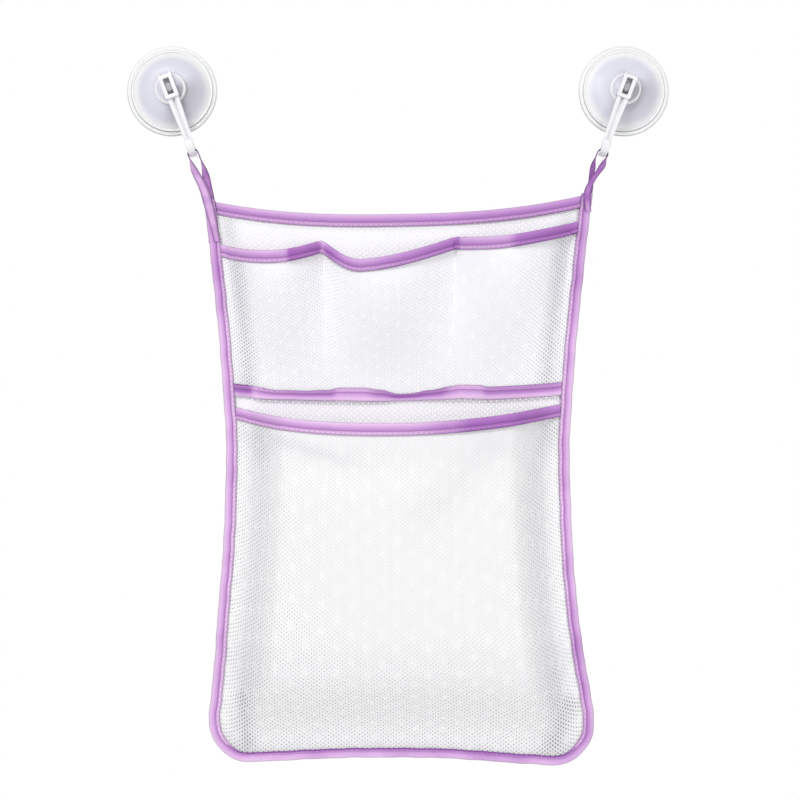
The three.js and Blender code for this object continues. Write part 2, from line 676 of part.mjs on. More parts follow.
// Edge binding: one tape down the left side, along the bottom and up the right side.
function edgeBinding() {
  const section = foldedTape(layerPitch / 2 + NET / 2 + SEW_GAP, TAPE_WIDTH);
  const sideLine = (side) => {
    const arcZ = footZ(side * footInside) + BOTTOM_CORNER_RADIUS;
    const heights = steps(cornerHeight(side) - SEW_GAP, arcZ, SIDE_STEPS);
    const straight = heights.map((z) => [middleX(z) + side * halfWidth(z), z]);
    const bend = steps(0, Math.PI / 2, TURN_STEPS).slice(1).map((angle) => [
      FOOT_SHIFT + side * (footInside + BOTTOM_CORNER_RADIUS * Math.cos(angle)),
      arcZ - BOTTOM_CORNER_RADIUS * Math.sin(angle),
    ]);
    return [...straight, ...bend];
  };
  const bottomX = steps(-footInside, footInside, 2 * BOTTOM_STEPS).slice(1, -1);
  const bottom = bottomX.map((x) => [FOOT_SHIFT + x, bottomLine(x)]);
  const points = [...sideLine(-1), ...bottom, ...sideLine(1).toReversed()];
  const line = points.map(([x, z]) => new THREE.Vector3(x, bagMiddle, z));
  const across = new THREE.Vector3(0, 1, 0);
  const last = line.length - 1;
  const stations = line.map((origin, i) => {
    const run = line[Math.min(i + 1, last)].clone().sub(line[Math.max(i - 1, 0)]).normalize();
    const inward = run.clone().cross(across);
    const along = i === 0 || i === last ? new THREE.Vector3(i === 0 ? 1 : -1, 0, 0) : inward;
    return { origin, across, along, section };
  });
  return skinned(stations);
}

addPiece("edge_binding", edgeBinding(), satinTape);

export default part;
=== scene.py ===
import math

import bmesh
import bpy
import numpy as np
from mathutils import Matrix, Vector


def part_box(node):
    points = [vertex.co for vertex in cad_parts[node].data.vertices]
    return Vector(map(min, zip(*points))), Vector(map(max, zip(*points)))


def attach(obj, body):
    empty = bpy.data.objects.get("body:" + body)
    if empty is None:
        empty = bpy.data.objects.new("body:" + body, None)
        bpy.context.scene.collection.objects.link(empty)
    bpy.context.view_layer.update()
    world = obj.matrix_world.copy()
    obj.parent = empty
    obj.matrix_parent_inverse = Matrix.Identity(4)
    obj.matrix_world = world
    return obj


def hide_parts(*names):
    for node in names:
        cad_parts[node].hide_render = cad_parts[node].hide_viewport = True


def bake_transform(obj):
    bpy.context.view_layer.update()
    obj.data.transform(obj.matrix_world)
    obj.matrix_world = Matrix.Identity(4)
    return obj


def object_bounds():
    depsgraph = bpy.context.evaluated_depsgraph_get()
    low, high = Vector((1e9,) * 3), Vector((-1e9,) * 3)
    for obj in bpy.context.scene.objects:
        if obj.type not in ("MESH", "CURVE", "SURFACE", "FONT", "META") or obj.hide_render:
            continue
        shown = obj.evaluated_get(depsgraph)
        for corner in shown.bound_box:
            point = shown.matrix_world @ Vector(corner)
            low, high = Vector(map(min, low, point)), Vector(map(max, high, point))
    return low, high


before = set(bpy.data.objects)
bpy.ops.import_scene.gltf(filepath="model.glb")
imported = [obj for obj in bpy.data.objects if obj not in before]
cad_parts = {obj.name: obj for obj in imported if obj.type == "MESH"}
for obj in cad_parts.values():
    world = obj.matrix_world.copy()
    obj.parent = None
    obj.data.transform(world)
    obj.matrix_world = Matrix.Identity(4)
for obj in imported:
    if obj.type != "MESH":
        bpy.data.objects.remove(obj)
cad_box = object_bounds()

# Suction cups. Each is one moulding of soft clear vinyl: a flat sealing rim, a fine bead, a frosted
# dome, and a boss with a mushroom knob that holds the hook. It is round about an axis square to the wall.
MM = 0.001
MERGE = 1e-6
CUP_SIDES = 128
RIM_WIDTH = 5.5 * MM
RIM_THICKNESS = 1.6 * MM
RIM_ROUND = 1.1 * MM
BEAD_INSET = 5.0 * MM
BEAD_HEIGHT = 0.9 * MM
BEAD_WIDTH = 1.3 * MM
DOME_HEIGHT = 9.0 * MM
HOLLOW_DEPTH = 6.0 * MM
BOSS_RADIUS = 14.5 * MM
BOSS_HEIGHT = 12.6 * MM
BOSS_HIGHLIGHT_RING = 2.2 * MM
BOSS_ROUND = 1.8 * MM
NECK_RADIUS = 3.0 * MM
KNOB_RADIUS = 4.5 * MM
KNOB_BACK = 15.4 * MM
HOLLOW_STEPS = 16
LIP_STEPS = 7
BEAD_STEPS = 9
BEAD_OUTSIDE = 4
DOME_STEPS = 24
ROUND_STEPS = 6
MOULD_BUMP = 0.5
VINYL = {"Transmission Weight": 0.25, "IOR": 1.42}
MILKY = (0.75, 0.745, 0.84, 1)
MILKY_TO = 27 * MM
CLEAR_FROM = 34 * MM
THINNED = (0.93, 0.935, 0.95, 1)
# Painted shadow: the dome is darker on its lower right side, where the hook shades it.
PAINTED_SHADOW_TONE = (0.45, 0.445, 0.495, 1)
PAINTED_SHADOW_ANGLE = math.radians(-38)
PAINTED_SHADOW_FROM = 0.15
PAINTED_SHADOW_TO = 0.85
PAINTED_SHADOW_AT_RIM = 0.15
CLEAR_TONE = (0.96, 0.965, 0.97, 1)
# The lip and bead are painted grey as a painted reflection, lighter up the cup and darker down it as painted
# light and shade.
EDGE_PAINTED_LIGHT = (0.76, 0.77, 0.74, 1)
LIP_PAINTED_SHADE = (0.55, 0.56, 0.53, 1)
BEAD_PAINTED_SHADE = (0.32, 0.33, 0.31, 1)
EDGE_PAINTED_SHADE_AT = -41 * MM
EDGE_PAINTED_LIGHT_AT = 32 * MM
KNOB_PAINTED_SHADE = (0.42, 0.42, 0.43, 1)


def mix(a, b, t):
    return a + (b - a) * t


def place(tree, kind, inputs=None, **settings):
    """A node in a tree, with its settings, and its inputs set or linked by name or number."""
    made = tree.nodes.new(kind)
    for name, value in settings.items():
        setattr(made, name, value)
    for name, value in (inputs or {}).items():
        if isinstance(value, bpy.types.NodeSocket):
            tree.links.new(value, made.inputs[name])
        else:
            made.inputs[name].default_value = value
    return made


def reckon(tree, operation, *values):
    """What a maths node makes of numbers or sockets."""
    return place(tree, "ShaderNodeMath", dict(enumerate(values)), operation=operation).outputs[0]


def ranged(tree, value, start, end, low=0.0, high=1.0, ease="LINEAR"):
    """A value between a start and an end, brought to the range from low to high."""
    inputs = {"Value": value, "From Min": start, "From Max": end, "To Min": low, "To Max": high}
    return place(tree, "ShaderNodeMapRange", inputs, interpolation_type=ease).outputs["Result"]


def blended(tree, share, first, second, blend="MIX"):
    """A share of the second colour over the first. Each is a colour or a colour socket."""
    inputs = {"Factor": share, 6: first, 7: second}
    return place(tree, "ShaderNodeMix", inputs, data_type="RGBA", blend_type=blend).outputs[2]


def mapped(tree, name):
    """A UV map of the mesh."""
    return place(tree, "ShaderNodeUVMap", uv_map=name).outputs["UV"]


def own_coords(tree):
    return place(tree, "ShaderNodeTexCoord").outputs["Object"]


def axes(tree, vector):
    """The X, Y and Z sockets of a vector socket."""
    return place(tree, "ShaderNodeSeparateXYZ", {"Vector": vector}).outputs


def noise(tree, size, detail):
    """Noise on the object's own coordinates, with grains of a size in metres."""
    scale = reckon(tree, "DIVIDE", 1.0, size)
    inputs = {"Vector": own_coords(tree), "Scale": scale, "Detail": detail}
    return place(tree, "ShaderNodeTexNoise", inputs).outputs["Fac"]


def bumped(tree, height, depth, strength):
    """The normal of a surface whose height is a socket, with a depth in metres."""
    inputs = {"Height": height, "Distance": depth, "Strength": strength}
    return place(tree, "ShaderNodeBump", inputs).outputs["Normal"]


def finish(name, inputs):
    """A material whose Principled shader has the given values or links. inputs(tree) returns them."""
    material = bpy.data.materials.new(name)
    material.use_nodes = True
    tree = material.node_tree
    tree.nodes.clear()
    shader = place(tree, "ShaderNodeBsdfPrincipled", inputs(tree))
    place(tree, "ShaderNodeOutputMaterial", {"Surface": shader.outputs["BSDF"]})
    return material


def group(name, inputs, outputs):
    """A shader node group with named number inputs and outputs, and the sockets of its inputs."""
    tree = bpy.data.node_groups.new(name, "ShaderNodeTree")
    for socket, value in inputs.items():
        made = tree.interface.new_socket(socket, in_out="INPUT", socket_type="NodeSocketFloat")
        made.default_value = value
    for socket in outputs:
        tree.interface.new_socket(socket, in_out="OUTPUT", socket_type="NodeSocketFloat")
    return tree, tree.nodes.new("NodeGroupInput").outputs


# Moulded surface: the slight unevenness that soft and hard plastic take from their mould.
moulded, given = group(
    "Moulded surface",
    {"Grain Size": 2 * MM, "Roughness": 0.3, "Spread": 0.08},
    ("Roughness", "Height"),
)
grain = noise(moulded, given["Grain Size"], detail=3.0)
uneven = reckon(moulded, "MULTIPLY_ADD", grain, given["Spread"], given["Roughness"])
place(moulded, "NodeGroupOutput", {"Roughness": uneven, "Height": grain})


def moulded_finish(tree, grain, roughness, spread, depth):
    """Roughness and Normal inputs of a moulded surface, with a size and a depth of its grain."""
    values = {"Grain Size": grain, "Roughness": roughness, "Spread": spread}
    surface = place(tree, "ShaderNodeGroup", values, node_tree=moulded).outputs
    normal = bumped(tree, surface["Height"], depth, MOULD_BUMP)
    return {"Roughness": surface["Roughness"], "Normal": normal}


def milky_vinyl(tree):
    """Vinyl that is milky over the thick dome and clears towards the rim, with a painted shadow of the hook
    on its lower right side, strongest by the boss and fading to the rim.
    """
    from_axis = axes(tree, mapped(tree, "Cup"))["X"]
    clearing = ranged(tree, from_axis, MILKY_TO, CLEAR_FROM, ease="SMOOTHSTEP")
    colour = blended(tree, clearing, MILKY, THINNED)
    way = (math.cos(PAINTED_SHADOW_ANGLE), math.sin(PAINTED_SHADOW_ANGLE), 0)
    compared = {0: mapped(tree, "Around"), 1: way}
    facing = place(tree, "ShaderNodeVectorMath", compared, operation="DOT_PRODUCT").outputs["Value"]
    side = ranged(tree, facing, PAINTED_SHADOW_FROM, PAINTED_SHADOW_TO, ease="SMOOTHSTEP")
    fading = ranged(tree, from_axis, BOSS_RADIUS - BOSS_HIGHLIGHT_RING, CLEAR_FROM, 1.0, PAINTED_SHADOW_AT_RIM)
    return {
        "Base Color": blended(tree, reckon(tree, "MULTIPLY", side, fading), colour, PAINTED_SHADOW_TONE),
        "Coat Weight": 0.15,
        "Coat Roughness": 0.3,
        **VINYL,
        **moulded_finish(tree, grain=4 * MM, roughness=0.32, spread=0.12, depth=0.2 * MM),
    }


def clear_vinyl(tree):
    surface = moulded_finish(tree, grain=6 * MM, roughness=0.4, spread=0.06, depth=0.1 * MM)
    return {"Base Color": CLEAR_TONE, **VINYL, **surface}


def painted_lit_edge(tree, foot):
    """A thin edge of clear vinyl, painted grey as a painted reflection, and painted lighter towards the
    cup's top and darker at its foot as painted light and shade.
    """
    height = ranged(tree, axes(tree, own_coords(tree))["Z"], EDGE_PAINTED_SHADE_AT, EDGE_PAINTED_LIGHT_AT)
    surface = moulded_finish(tree, grain=6 * MM, roughness=0.45, spread=0.06, depth=0.1 * MM)
    return {"Base Color": blended(tree, height, foot, EDGE_PAINTED_LIGHT), **surface}


# The knob is painted dark grey as painted shade under the hook's head.
def knob_vinyl(tree):
    surface = moulded_finish(tree, grain=4 * MM, roughness=0.45, spread=0.06, depth=0.1 * MM)
    return {"Base Color": KNOB_PAINTED_SHADE, **surface}


CUP_FINISHES = [
    finish("frosted_vinyl", milky_vinyl),
    finish("clear_vinyl", clear_vinyl),
    finish("vinyl_lip", lambda tree: painted_lit_edge(tree, LIP_PAINTED_SHADE)),
    finish("vinyl_bead", lambda tree: painted_lit_edge(tree, BEAD_PAINTED_SHADE)),
    finish("vinyl_knob", knob_vinyl),
]
FROSTED, CLEAR, LIP, BEAD, KNOB = range(len(CUP_FINISHES))


def arc(centre, radius, start, end, count):
    """Points on a circle in the profile's plane, from one angle to another in degrees."""
    angles = np.radians(np.linspace(start, end, count))
    return [(centre[0] + radius * math.cos(a), centre[1] + radius * math.sin(a)) for a in angles]


def cup_profile(cup_radius, knob_front):
    """Radius and height over the wall from the hollow's middle to the knob's front, with finishes."""
    seal_inside = cup_radius - RIM_WIDTH
    hollow = [(seal_inside * t, HOLLOW_DEPTH * (1 - t * t)) for t in np.linspace(0, 1, HOLLOW_STEPS)]
    lip = arc((cup_radius - RIM_ROUND, RIM_ROUND), RIM_ROUND, -90, 90, LIP_STEPS)
    lip = [(r, h * RIM_THICKNESS / (2 * RIM_ROUND)) for r, h in lip]
    bead_radius = cup_radius - BEAD_INSET
    bead = [
        (bead_radius + BEAD_WIDTH * math.cos(a), RIM_THICKNESS + BEAD_HEIGHT * math.sin(a))
        for a in np.linspace(0, math.pi, BEAD_STEPS)
    ]
    dome_from = bead_radius - BEAD_WIDTH
    dome_to = BOSS_RADIUS + BOSS_ROUND
    dome = [
        (mix(dome_from, dome_to, t), mix(RIM_THICKNESS, DOME_HEIGHT, math.sin(t * math.pi / 2)))
        for t in np.linspace(0, 1, DOME_STEPS)[1:]
    ]
    foot = arc((dome_to, DOME_HEIGHT + BOSS_ROUND), BOSS_ROUND, 270, 180, ROUND_STEPS)[1:]
    edge = (BOSS_RADIUS - BOSS_ROUND, BOSS_HEIGHT - BOSS_ROUND)
    shoulder = arc(edge, BOSS_ROUND, 0, 90, ROUND_STEPS)
    neck = [(NECK_RADIUS, BOSS_HEIGHT), (NECK_RADIUS, KNOB_BACK), (KNOB_RADIUS, KNOB_BACK)]
    cap = arc((KNOB_RADIUS - BOSS_ROUND, knob_front - BOSS_ROUND), BOSS_ROUND, 0, 90, ROUND_STEPS)
    stretches = [
        (hollow, FROSTED),
        (lip[:1], CLEAR),
        (lip[1:], LIP),
        (bead[:1], CLEAR),
        (bead[1:BEAD_OUTSIDE], BEAD),
        (bead[BEAD_OUTSIDE:], CLEAR),
        (dome + foot, FROSTED),
        # The boss's rounded shoulder takes the clear finish, a painted highlight ring round the boss.
        (shoulder + [(BOSS_RADIUS - BOSS_HIGHLIGHT_RING, BOSS_HEIGHT)], CLEAR),
        (neck[:1], FROSTED),
        (neck[1:] + cap + [(0, knob_front)], KNOB),
    ]
    points = [point for stretch, _ in stretches for point in stretch]
    finishes = [kind for stretch, kind in stretches for _ in stretch]
    return points, finishes


def put(name, data):
    """A new object at the origin that holds a mesh, a camera or a light."""
    made = bpy.data.objects.new(name, data)
    bpy.context.scene.collection.objects.link(made)
    return made


def mesh_object(name, verts, faces, materials, smooth=True):
    """A new mesh object at the origin, with its faces turned outwards."""
    mesh = bpy.data.meshes.new(name)
    mesh.from_pydata([tuple(v) for v in verts], [], faces)
    for material in materials:
        mesh.materials.append(material)
    shape = bmesh.new()
    shape.from_mesh(mesh)
    bmesh.ops.recalc_face_normals(shape, faces=shape.faces)
    shape.to_mesh(mesh)
    shape.free()
    if smooth:
        mesh.shade_smooth()
    return put(name, mesh)


def suction_cup(side):
    """A cup as wide and as deep as its CAD node, turned about that node's middle."""
    low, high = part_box(f"{side}_suction_cup")
    centre = (low.x + high.x) / 2
    points, finishes = cup_profile((high.x - low.x) / 2, -low.y)
    verts, faces, kinds, rings = [], [], [], []
    for radius, height in points:
        if radius < MERGE:
            rings.append([len(verts)] * CUP_SIDES)
            verts.append((centre, -height, 0))
            continue
        rings.append([len(verts) + i for i in range(CUP_SIDES)])
        for angle in np.linspace(0, 2 * math.pi, CUP_SIDES, endpoint=False):
            verts.append((centre + radius * math.cos(angle), -height, radius * math.sin(angle)))
    for ring, after, kind in zip(rings, rings[1:], finishes[1:]):
        for i in range(CUP_SIDES):
            j = (i + 1) % CUP_SIDES
            corners = [ring[i], ring[j], after[j], after[i]]
            faces.append(list(dict.fromkeys(corners)))
            kinds.append(kind)
    cup = mesh_object(f"{side}_cup", verts, faces, CUP_FINISHES)
    cup.data.polygons.foreach_set("material_index", kinds)
    profile = cup.data.uv_layers.new(name="Cup")
    around = cup.data.uv_layers.new(name="Around")
    for corner in cup.data.loops:
        at = cup.data.vertices[corner.vertex_index].co
        radius = math.hypot(at.x - centre, at.z)
        profile.data[corner.index].uv = (radius, -at.y)
        around.data[corner.index].uv = ((at.x - centre) / max(radius, MM), at.z / max(radius, MM))
    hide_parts(f"{side}_suction_cup")
    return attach(cup, "cups")


suction_cup("left")
suction_cup("right")

# Hooks. Each is a hard white moulding: a boxed head with a window that snaps over the cup's knob, two
# prongs, an arm with two rails, and a seat and tip that hold the loop. Its edges are a little round.
EDGE_ROUND = 0.35 * MM
ROUND_SEGMENTS = 2
FLAT_UNDER = math.radians(1)
SHARP_OVER = math.radians(28)
SMOOTH_UNDER = math.radians(40)
WHITE = (0.86, 0.86, 0.88, 1)
GROOVE_PAINTED_SHADE = (0.6, 0.6, 0.64, 1)
ARM_FRONT = -19.0 * MM
PAINTED_SHADE_DEPTH = 3.0 * MM


def glossy_white_painted_shade(tree):
    """Hard white plastic, with painted shade: greyer in the arm's groove and in the deep parts of the head,
    by depth behind the arm's front.
    """
    depth = ranged(tree, axes(tree, own_coords(tree))["Y"], ARM_FRONT, ARM_FRONT + PAINTED_SHADE_DEPTH)
    return {
        "Base Color": blended(tree, depth, WHITE, GROOVE_PAINTED_SHADE),
        "Coat Weight": 0.3,
        "Coat Roughness": 0.08,
        **moulded_finish(tree, grain=3 * MM, roughness=0.22, spread=0.1, depth=0.15 * MM),
    }


white_plastic = finish("white_plastic", glossy_white_painted_shade)


def rounded_copy(node, name, material):
    """A copy of a CAD node with its corners merged, its flat faces joined and its edges rounded."""
    shape = bmesh.new()
    shape.from_mesh(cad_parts[node].data)
    bmesh.ops.remove_doubles(shape, verts=shape.verts, dist=MERGE)
    bmesh.ops.dissolve_limit(shape, angle_limit=FLAT_UNDER, verts=shape.verts, edges=shape.edges)
    inner = [edge for edge in shape.edges if len(edge.link_faces) == 2]
    bmesh.ops.bevel(
        shape,
        geom=[edge for edge in inner if edge.calc_face_angle() > SHARP_OVER],
        offset=EDGE_ROUND,
        segments=ROUND_SEGMENTS,
        profile=0.5,
        affect="EDGES",
        clamp_overlap=True,
    )
    bmesh.ops.triangulate(shape, faces=shape.faces)
    mesh = bpy.data.meshes.new(name)
    shape.to_mesh(mesh)
    shape.free()
    mesh.materials.append(material)
    mesh.shade_smooth()
    mesh.set_sharp_from_angle(angle=SMOOTH_UNDER)
    return put(name, mesh)


for side in ("left", "right"):
    moulding = rounded_copy(f"{side}_hook", f"{side}_hook_moulding", white_plastic)
    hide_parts(f"{side}_hook")
    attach(moulding, f"{side}_hook")

# Back panel. One piece of white polyester net, knitted in hexagons, that is the whole back of the bag.
# Its edges end inside the bindings. The net is laid out flat, then hung to the bag's outline.
BACK_FLAT = (352 * MM, 500 * MM)
BACK_CELL = (6.0 * MM, 4.4 * MM)
BACK_HOLE = 0.34
# The back net's thread is set brighter and more lilac than the lower pocket's, though it is the same net:
# painted light.
BACK_PAINTED_LIGHT_TONE = (0.96, 0.955, 0.985, 1)
HOLE_PAINTED_SHADE = (0.34, 0.34, 0.38, 1)
WOVEN_BUMP = 0.6
NET_CREST = 0.2 * MM
NET_MERGE = 0.05 * MM
CROSS_TAPE_WIDTH = 11.4 * MM
CLOTH_EDGE = 3.3 * MM
SEW_GAP = 0.3 * MM
RIGHT_RISE = 6 * MM
TOP_HALF_WIDTH = 169.8 * MM
WAIST_HALF_WIDTH = 149.7 * MM
WAIST_DROP = 225 * MM
FOOT_HALF_WIDTH = 168.2 * MM
FOOT_DROP = 461 * MM
BAG_DROP = 501.5 * MM
BOTTOM_CORNER = 32 * MM
BOTTOM_RISE = 4.5 * MM
RIGHT_DROOP = 3 * MM
FOOT_SHIFT = 3.2 * MM
SHIFT_DROP = 360 * MM
SHIFT_RUN = 110 * MM
SHOULDER_CURVE = 1.4
FOOT_CURVE = 1.9
UPPER_SEAM_DROP = 171 * MM
UPPER_SEAM_SAG = 5.5 * MM
TOP_EDGE_DROP = 5.6 * MM
TOP_EDGE_SAG = 15.6 * MM
SAG_CURVE = 2.6
FRINGE = 2 * MM
TOP_FRINGE_SHADE = 0.35
SEAM_FRINGE_SHADE = 0.15
CORNER_HOLE_SHADE = 0.9
CORNER_IN = 18 * MM
CORNER_WIDTH = 8 * MM
CORNER_DOWN = 28 * MM
CORNER_HEIGHT = 22 * MM

corner_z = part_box("edge_binding")[1].z + SEW_GAP - RIGHT_RISE
bottom_z = corner_z - BAG_DROP
foot_inside = FOOT_HALF_WIDTH - BOTTOM_CORNER
back_y = (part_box("back_panel")[0].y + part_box("back_panel")[1].y) / 2
bag_y = (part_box("edge_binding")[0].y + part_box("edge_binding")[1].y) / 2


def smooth(t):
    t = np.clip(t, 0, 1)
    return t * t * (3 - 2 * t)


def half_width(z):
    """Half the bag's width at a height, to the middle of the side binding."""
    drop = corner_z - np.asarray(z, float)
    above = np.clip((WAIST_DROP - drop) / WAIST_DROP, 0, None)
    below = np.clip((drop - WAIST_DROP) / (FOOT_DROP - WAIST_DROP), 0, 1)
    shoulder = mix(WAIST_HALF_WIDTH, TOP_HALF_WIDTH, above**SHOULDER_CURVE)
    foot = mix(WAIST_HALF_WIDTH, FOOT_HALF_WIDTH, below**FOOT_CURVE)
    return np.where(drop < WAIST_DROP, shoulder, foot)


def cloth_half_width(z):
    return half_width(z) + CLOTH_EDGE


def middle_x(z):
    """Middle of the bag at a height. The foot hangs a little to the right."""
    return FOOT_SHIFT * smooth((corner_z - z - SHIFT_DROP) / SHIFT_RUN)


def column_x(u, z):
    """Place across the bag of a column, from -1 at the cloth's left edge to 1 at its right one."""
    return middle_x(z) + u * cloth_half_width(z)


def foot_z(x):
    """Height of the foot. Its right corner hangs a little lower than its left one."""
    return bottom_z - RIGHT_DROOP * smooth(x / foot_inside)


def bottom_line(x):
    return foot_z(x) + BOTTOM_RISE * (1 - (x / foot_inside) ** 2)


def cloth_bottom(u):
    """Lower edge of the cloth in a column, round the bottom corners."""
    x = u * (FOOT_HALF_WIDTH + CLOTH_EDGE)
    beyond = np.abs(x) - foot_inside
    reach = BOTTOM_CORNER + CLOTH_EDGE
    corner = foot_z(x) + BOTTOM_CORNER - np.sqrt(np.clip(reach**2 - beyond**2, 0, None))
    return np.where(beyond < 0, bottom_line(x) - CLOTH_EDGE, corner)


def hang(u, drop, sag, rise=0, right_curve=SAG_CURVE):
    """Height of an edge that hangs between the sides, its right end higher by a rise."""
    curve = np.where(u < 0, SAG_CURVE, right_curve)
    return corner_z - drop - sag * (1 - np.abs(u) ** curve) + rise * (1 + u) / 2


def top_edge(u):
    return hang(u, TOP_EDGE_DROP, TOP_EDGE_SAG, RIGHT_RISE)


def upper_seam(u):
    return hang(u, UPPER_SEAM_DROP, UPPER_SEAM_SAG)


def back_surface(u, z):
    return np.stack([column_x(u, z), np.full_like(u, back_y), z], axis=-1)


# Woven threads: the fine rib of yarn on net, tape and sewing thread.
woven, given = group("Woven threads", {"Thread": 0.4 * MM, "Fleck": 0.06}, ("Tint", "Height"))
yarn = noise(woven, given["Thread"], detail=2.0)
rib = reckon(woven, "SUBTRACT", yarn, 0.5)
tint = reckon(woven, "MULTIPLY_ADD", rib, given["Fleck"], 1.0)
place(woven, "NodeGroupOutput", {"Tint": tint, "Height": yarn})


def woven_finish(tree, colour, thread, fleck, depth):
    """Base Color and Normal inputs of a cloth whose colour is a socket."""
    values = {"Thread": thread, "Fleck": fleck}
    threads = place(tree, "ShaderNodeGroup", values, node_tree=woven).outputs
    tinted = place(tree, "ShaderNodeVectorMath", {0: colour, 1: threads["Tint"]}, operation="MULTIPLY")
    normal = bumped(tree, threads["Height"], depth, WOVEN_BUMP)
    return {"Base Color": tinted.outputs["Vector"], "Normal": normal}


def kept(tree, name):
    """A number that the mesh keeps for each of its points."""
    node = place(tree, "ShaderNodeAttribute", attribute_name=name, attribute_type="GEOMETRY")
    return node.outputs["Fac"]


def keep(mesh, name, values):
    attribute = mesh.attributes.new(name, "FLOAT", "POINT")
    attribute.data.foreach_set("value", values.astype(np.float32).ravel())


def net_finish(name, colour):
    """White net, with painted shade where its points keep it: on the inner rings of its holes, and over its
    threads.
    """

    def inputs(tree):
        shaded = blended(tree, kept(tree, "deep"), colour, HOLE_PAINTED_SHADE)
        return {
            "Roughness": 0.55,
            "Sheen Weight": 0.15,
            **woven_finish(tree, shaded, thread=0.5 * MM, fleck=0.1, depth=0.2 * MM),
        }

    return finish(name, inputs)


def layout_tree(name, inputs):
    """A geometry node tree with named inputs and one geometry output, and the sockets of its inputs."""
    tree = bpy.data.node_groups.new(name, "GeometryNodeTree")
    for socket, kind in inputs.items():
        tree.interface.new_socket(socket, in_out="INPUT", socket_type=f"NodeSocket{kind}")
    tree.interface.new_socket("Made", in_out="OUTPUT", socket_type="NodeSocketGeometry")
    return tree, tree.nodes.new("NodeGroupInput").outputs


def end_layout(tree, geometry, material):
    """Gives the tree's geometry its material and puts it out."""
    finished = place(tree, "GeometryNodeSetMaterial", {"Geometry": geometry, "Material": material})
    place(tree, "NodeGroupOutput", {0: finished.outputs[0]})
    return tree


def net_tree():
    """Geometry nodes for a flat net: a hexagon ring on every point of two grids, half a cell apart."""
    tree, given = layout_tree(
        "Hexagon net",
        {
            "Columns": "Int",
            "Rows": "Int",
            "Cell Width": "Float",
            "Cell Height": "Float",
            "Hole": "Float",
            "Crest": "Float",
            "Finish": "Material",
        },
    )

    def lattice(columns, rows):
        inputs = {"Vertices X": columns, "Vertices Y": rows}
        for axis, count, cell in (("X", columns, "Cell Width"), ("Y", rows, "Cell Height")):
            cells = reckon(tree, "SUBTRACT", count, 1)
            inputs[f"Size {axis}"] = reckon(tree, "MULTIPLY", cells, given[cell])
        return place(tree, "GeometryNodeMeshGrid", inputs).outputs["Mesh"]

    between = [reckon(tree, "SUBTRACT", given[name], 1) for name in ("Columns", "Rows")]
    points = tree.nodes.new("GeometryNodeJoinGeometry")
    for grid in (lattice(given["Columns"], given["Rows"]), lattice(*between)):
        tree.links.new(grid, points.inputs[0])
    hexagon = place(tree, "GeometryNodeMeshCircle", {"Vertices": 6, "Radius": 1.0}, fill_type="NGON")
    inset = place(
        tree,
        "GeometryNodeExtrudeMesh",
        {"Mesh": hexagon.outputs["Mesh"], "Offset Scale": 0.0},
        mode="FACES",
    ).outputs
    hole = {"Geometry": inset["Mesh"], "Selection": inset["Top"], "Scale": given["Hole"]}
    narrowed = place(tree, "GeometryNodeScaleElements", hole, domain="FACE").outputs["Geometry"]
    depth = reckon(tree, "MULTIPLY", given["Crest"], -1)
    sink = place(tree, "ShaderNodeCombineXYZ", {"Z": depth}).outputs["Vector"]
    sunk = {"Geometry": narrowed, "Selection": inset["Top"], "Offset": sink}
    crested = place(tree, "GeometryNodeSetPosition", sunk).outputs["Geometry"]
    opened = {"Geometry": crested, "Selection": inset["Top"]}
    ring = place(tree, "GeometryNodeDeleteGeometry", opened, domain="FACE").outputs["Geometry"]
    cell = {
        "X": reckon(tree, "DIVIDE", given["Cell Width"], 3.0),
        "Y": reckon(tree, "DIVIDE", given["Cell Height"], math.sqrt(3)),
        "Z": 1.0,
    }
    size = place(tree, "ShaderNodeCombineXYZ", cell).outputs["Vector"]
    spread = {"Points": points.outputs[0], "Instance": ring, "Scale": size}
    knitted = place(tree, "GeometryNodeInstanceOnPoints", spread).outputs[0]
    real = place(tree, "GeometryNodeRealizeInstances", {"Geometry": knitted}).outputs[0]
    joined = place(tree, "GeometryNodeMergeByDistance", {"Geometry": real, "Distance": NET_MERGE})
    return end_layout(tree, joined.outputs[0], given["Finish"])


hexagon_net = net_tree()


def grown(name, tree, values, source=None):
    """A plain mesh object grown by a geometry node tree from values and, where given, a source mesh."""
    holder = put(f"{name}_layout", source or bpy.data.meshes.new(name))
    modifier = holder.modifiers.new("Layout", "NODES")
    modifier.node_group = tree
    for item in tree.interface.items_tree:
        if item.in_out == "INPUT" and item.name in values:
            modifier[item.identifier] = values[item.name]
    evaluated = holder.evaluated_get(bpy.context.evaluated_depsgraph_get())
    mesh = bpy.data.meshes.new_from_object(evaluated)
    bpy.data.objects.remove(holder)
    return put(name, mesh)


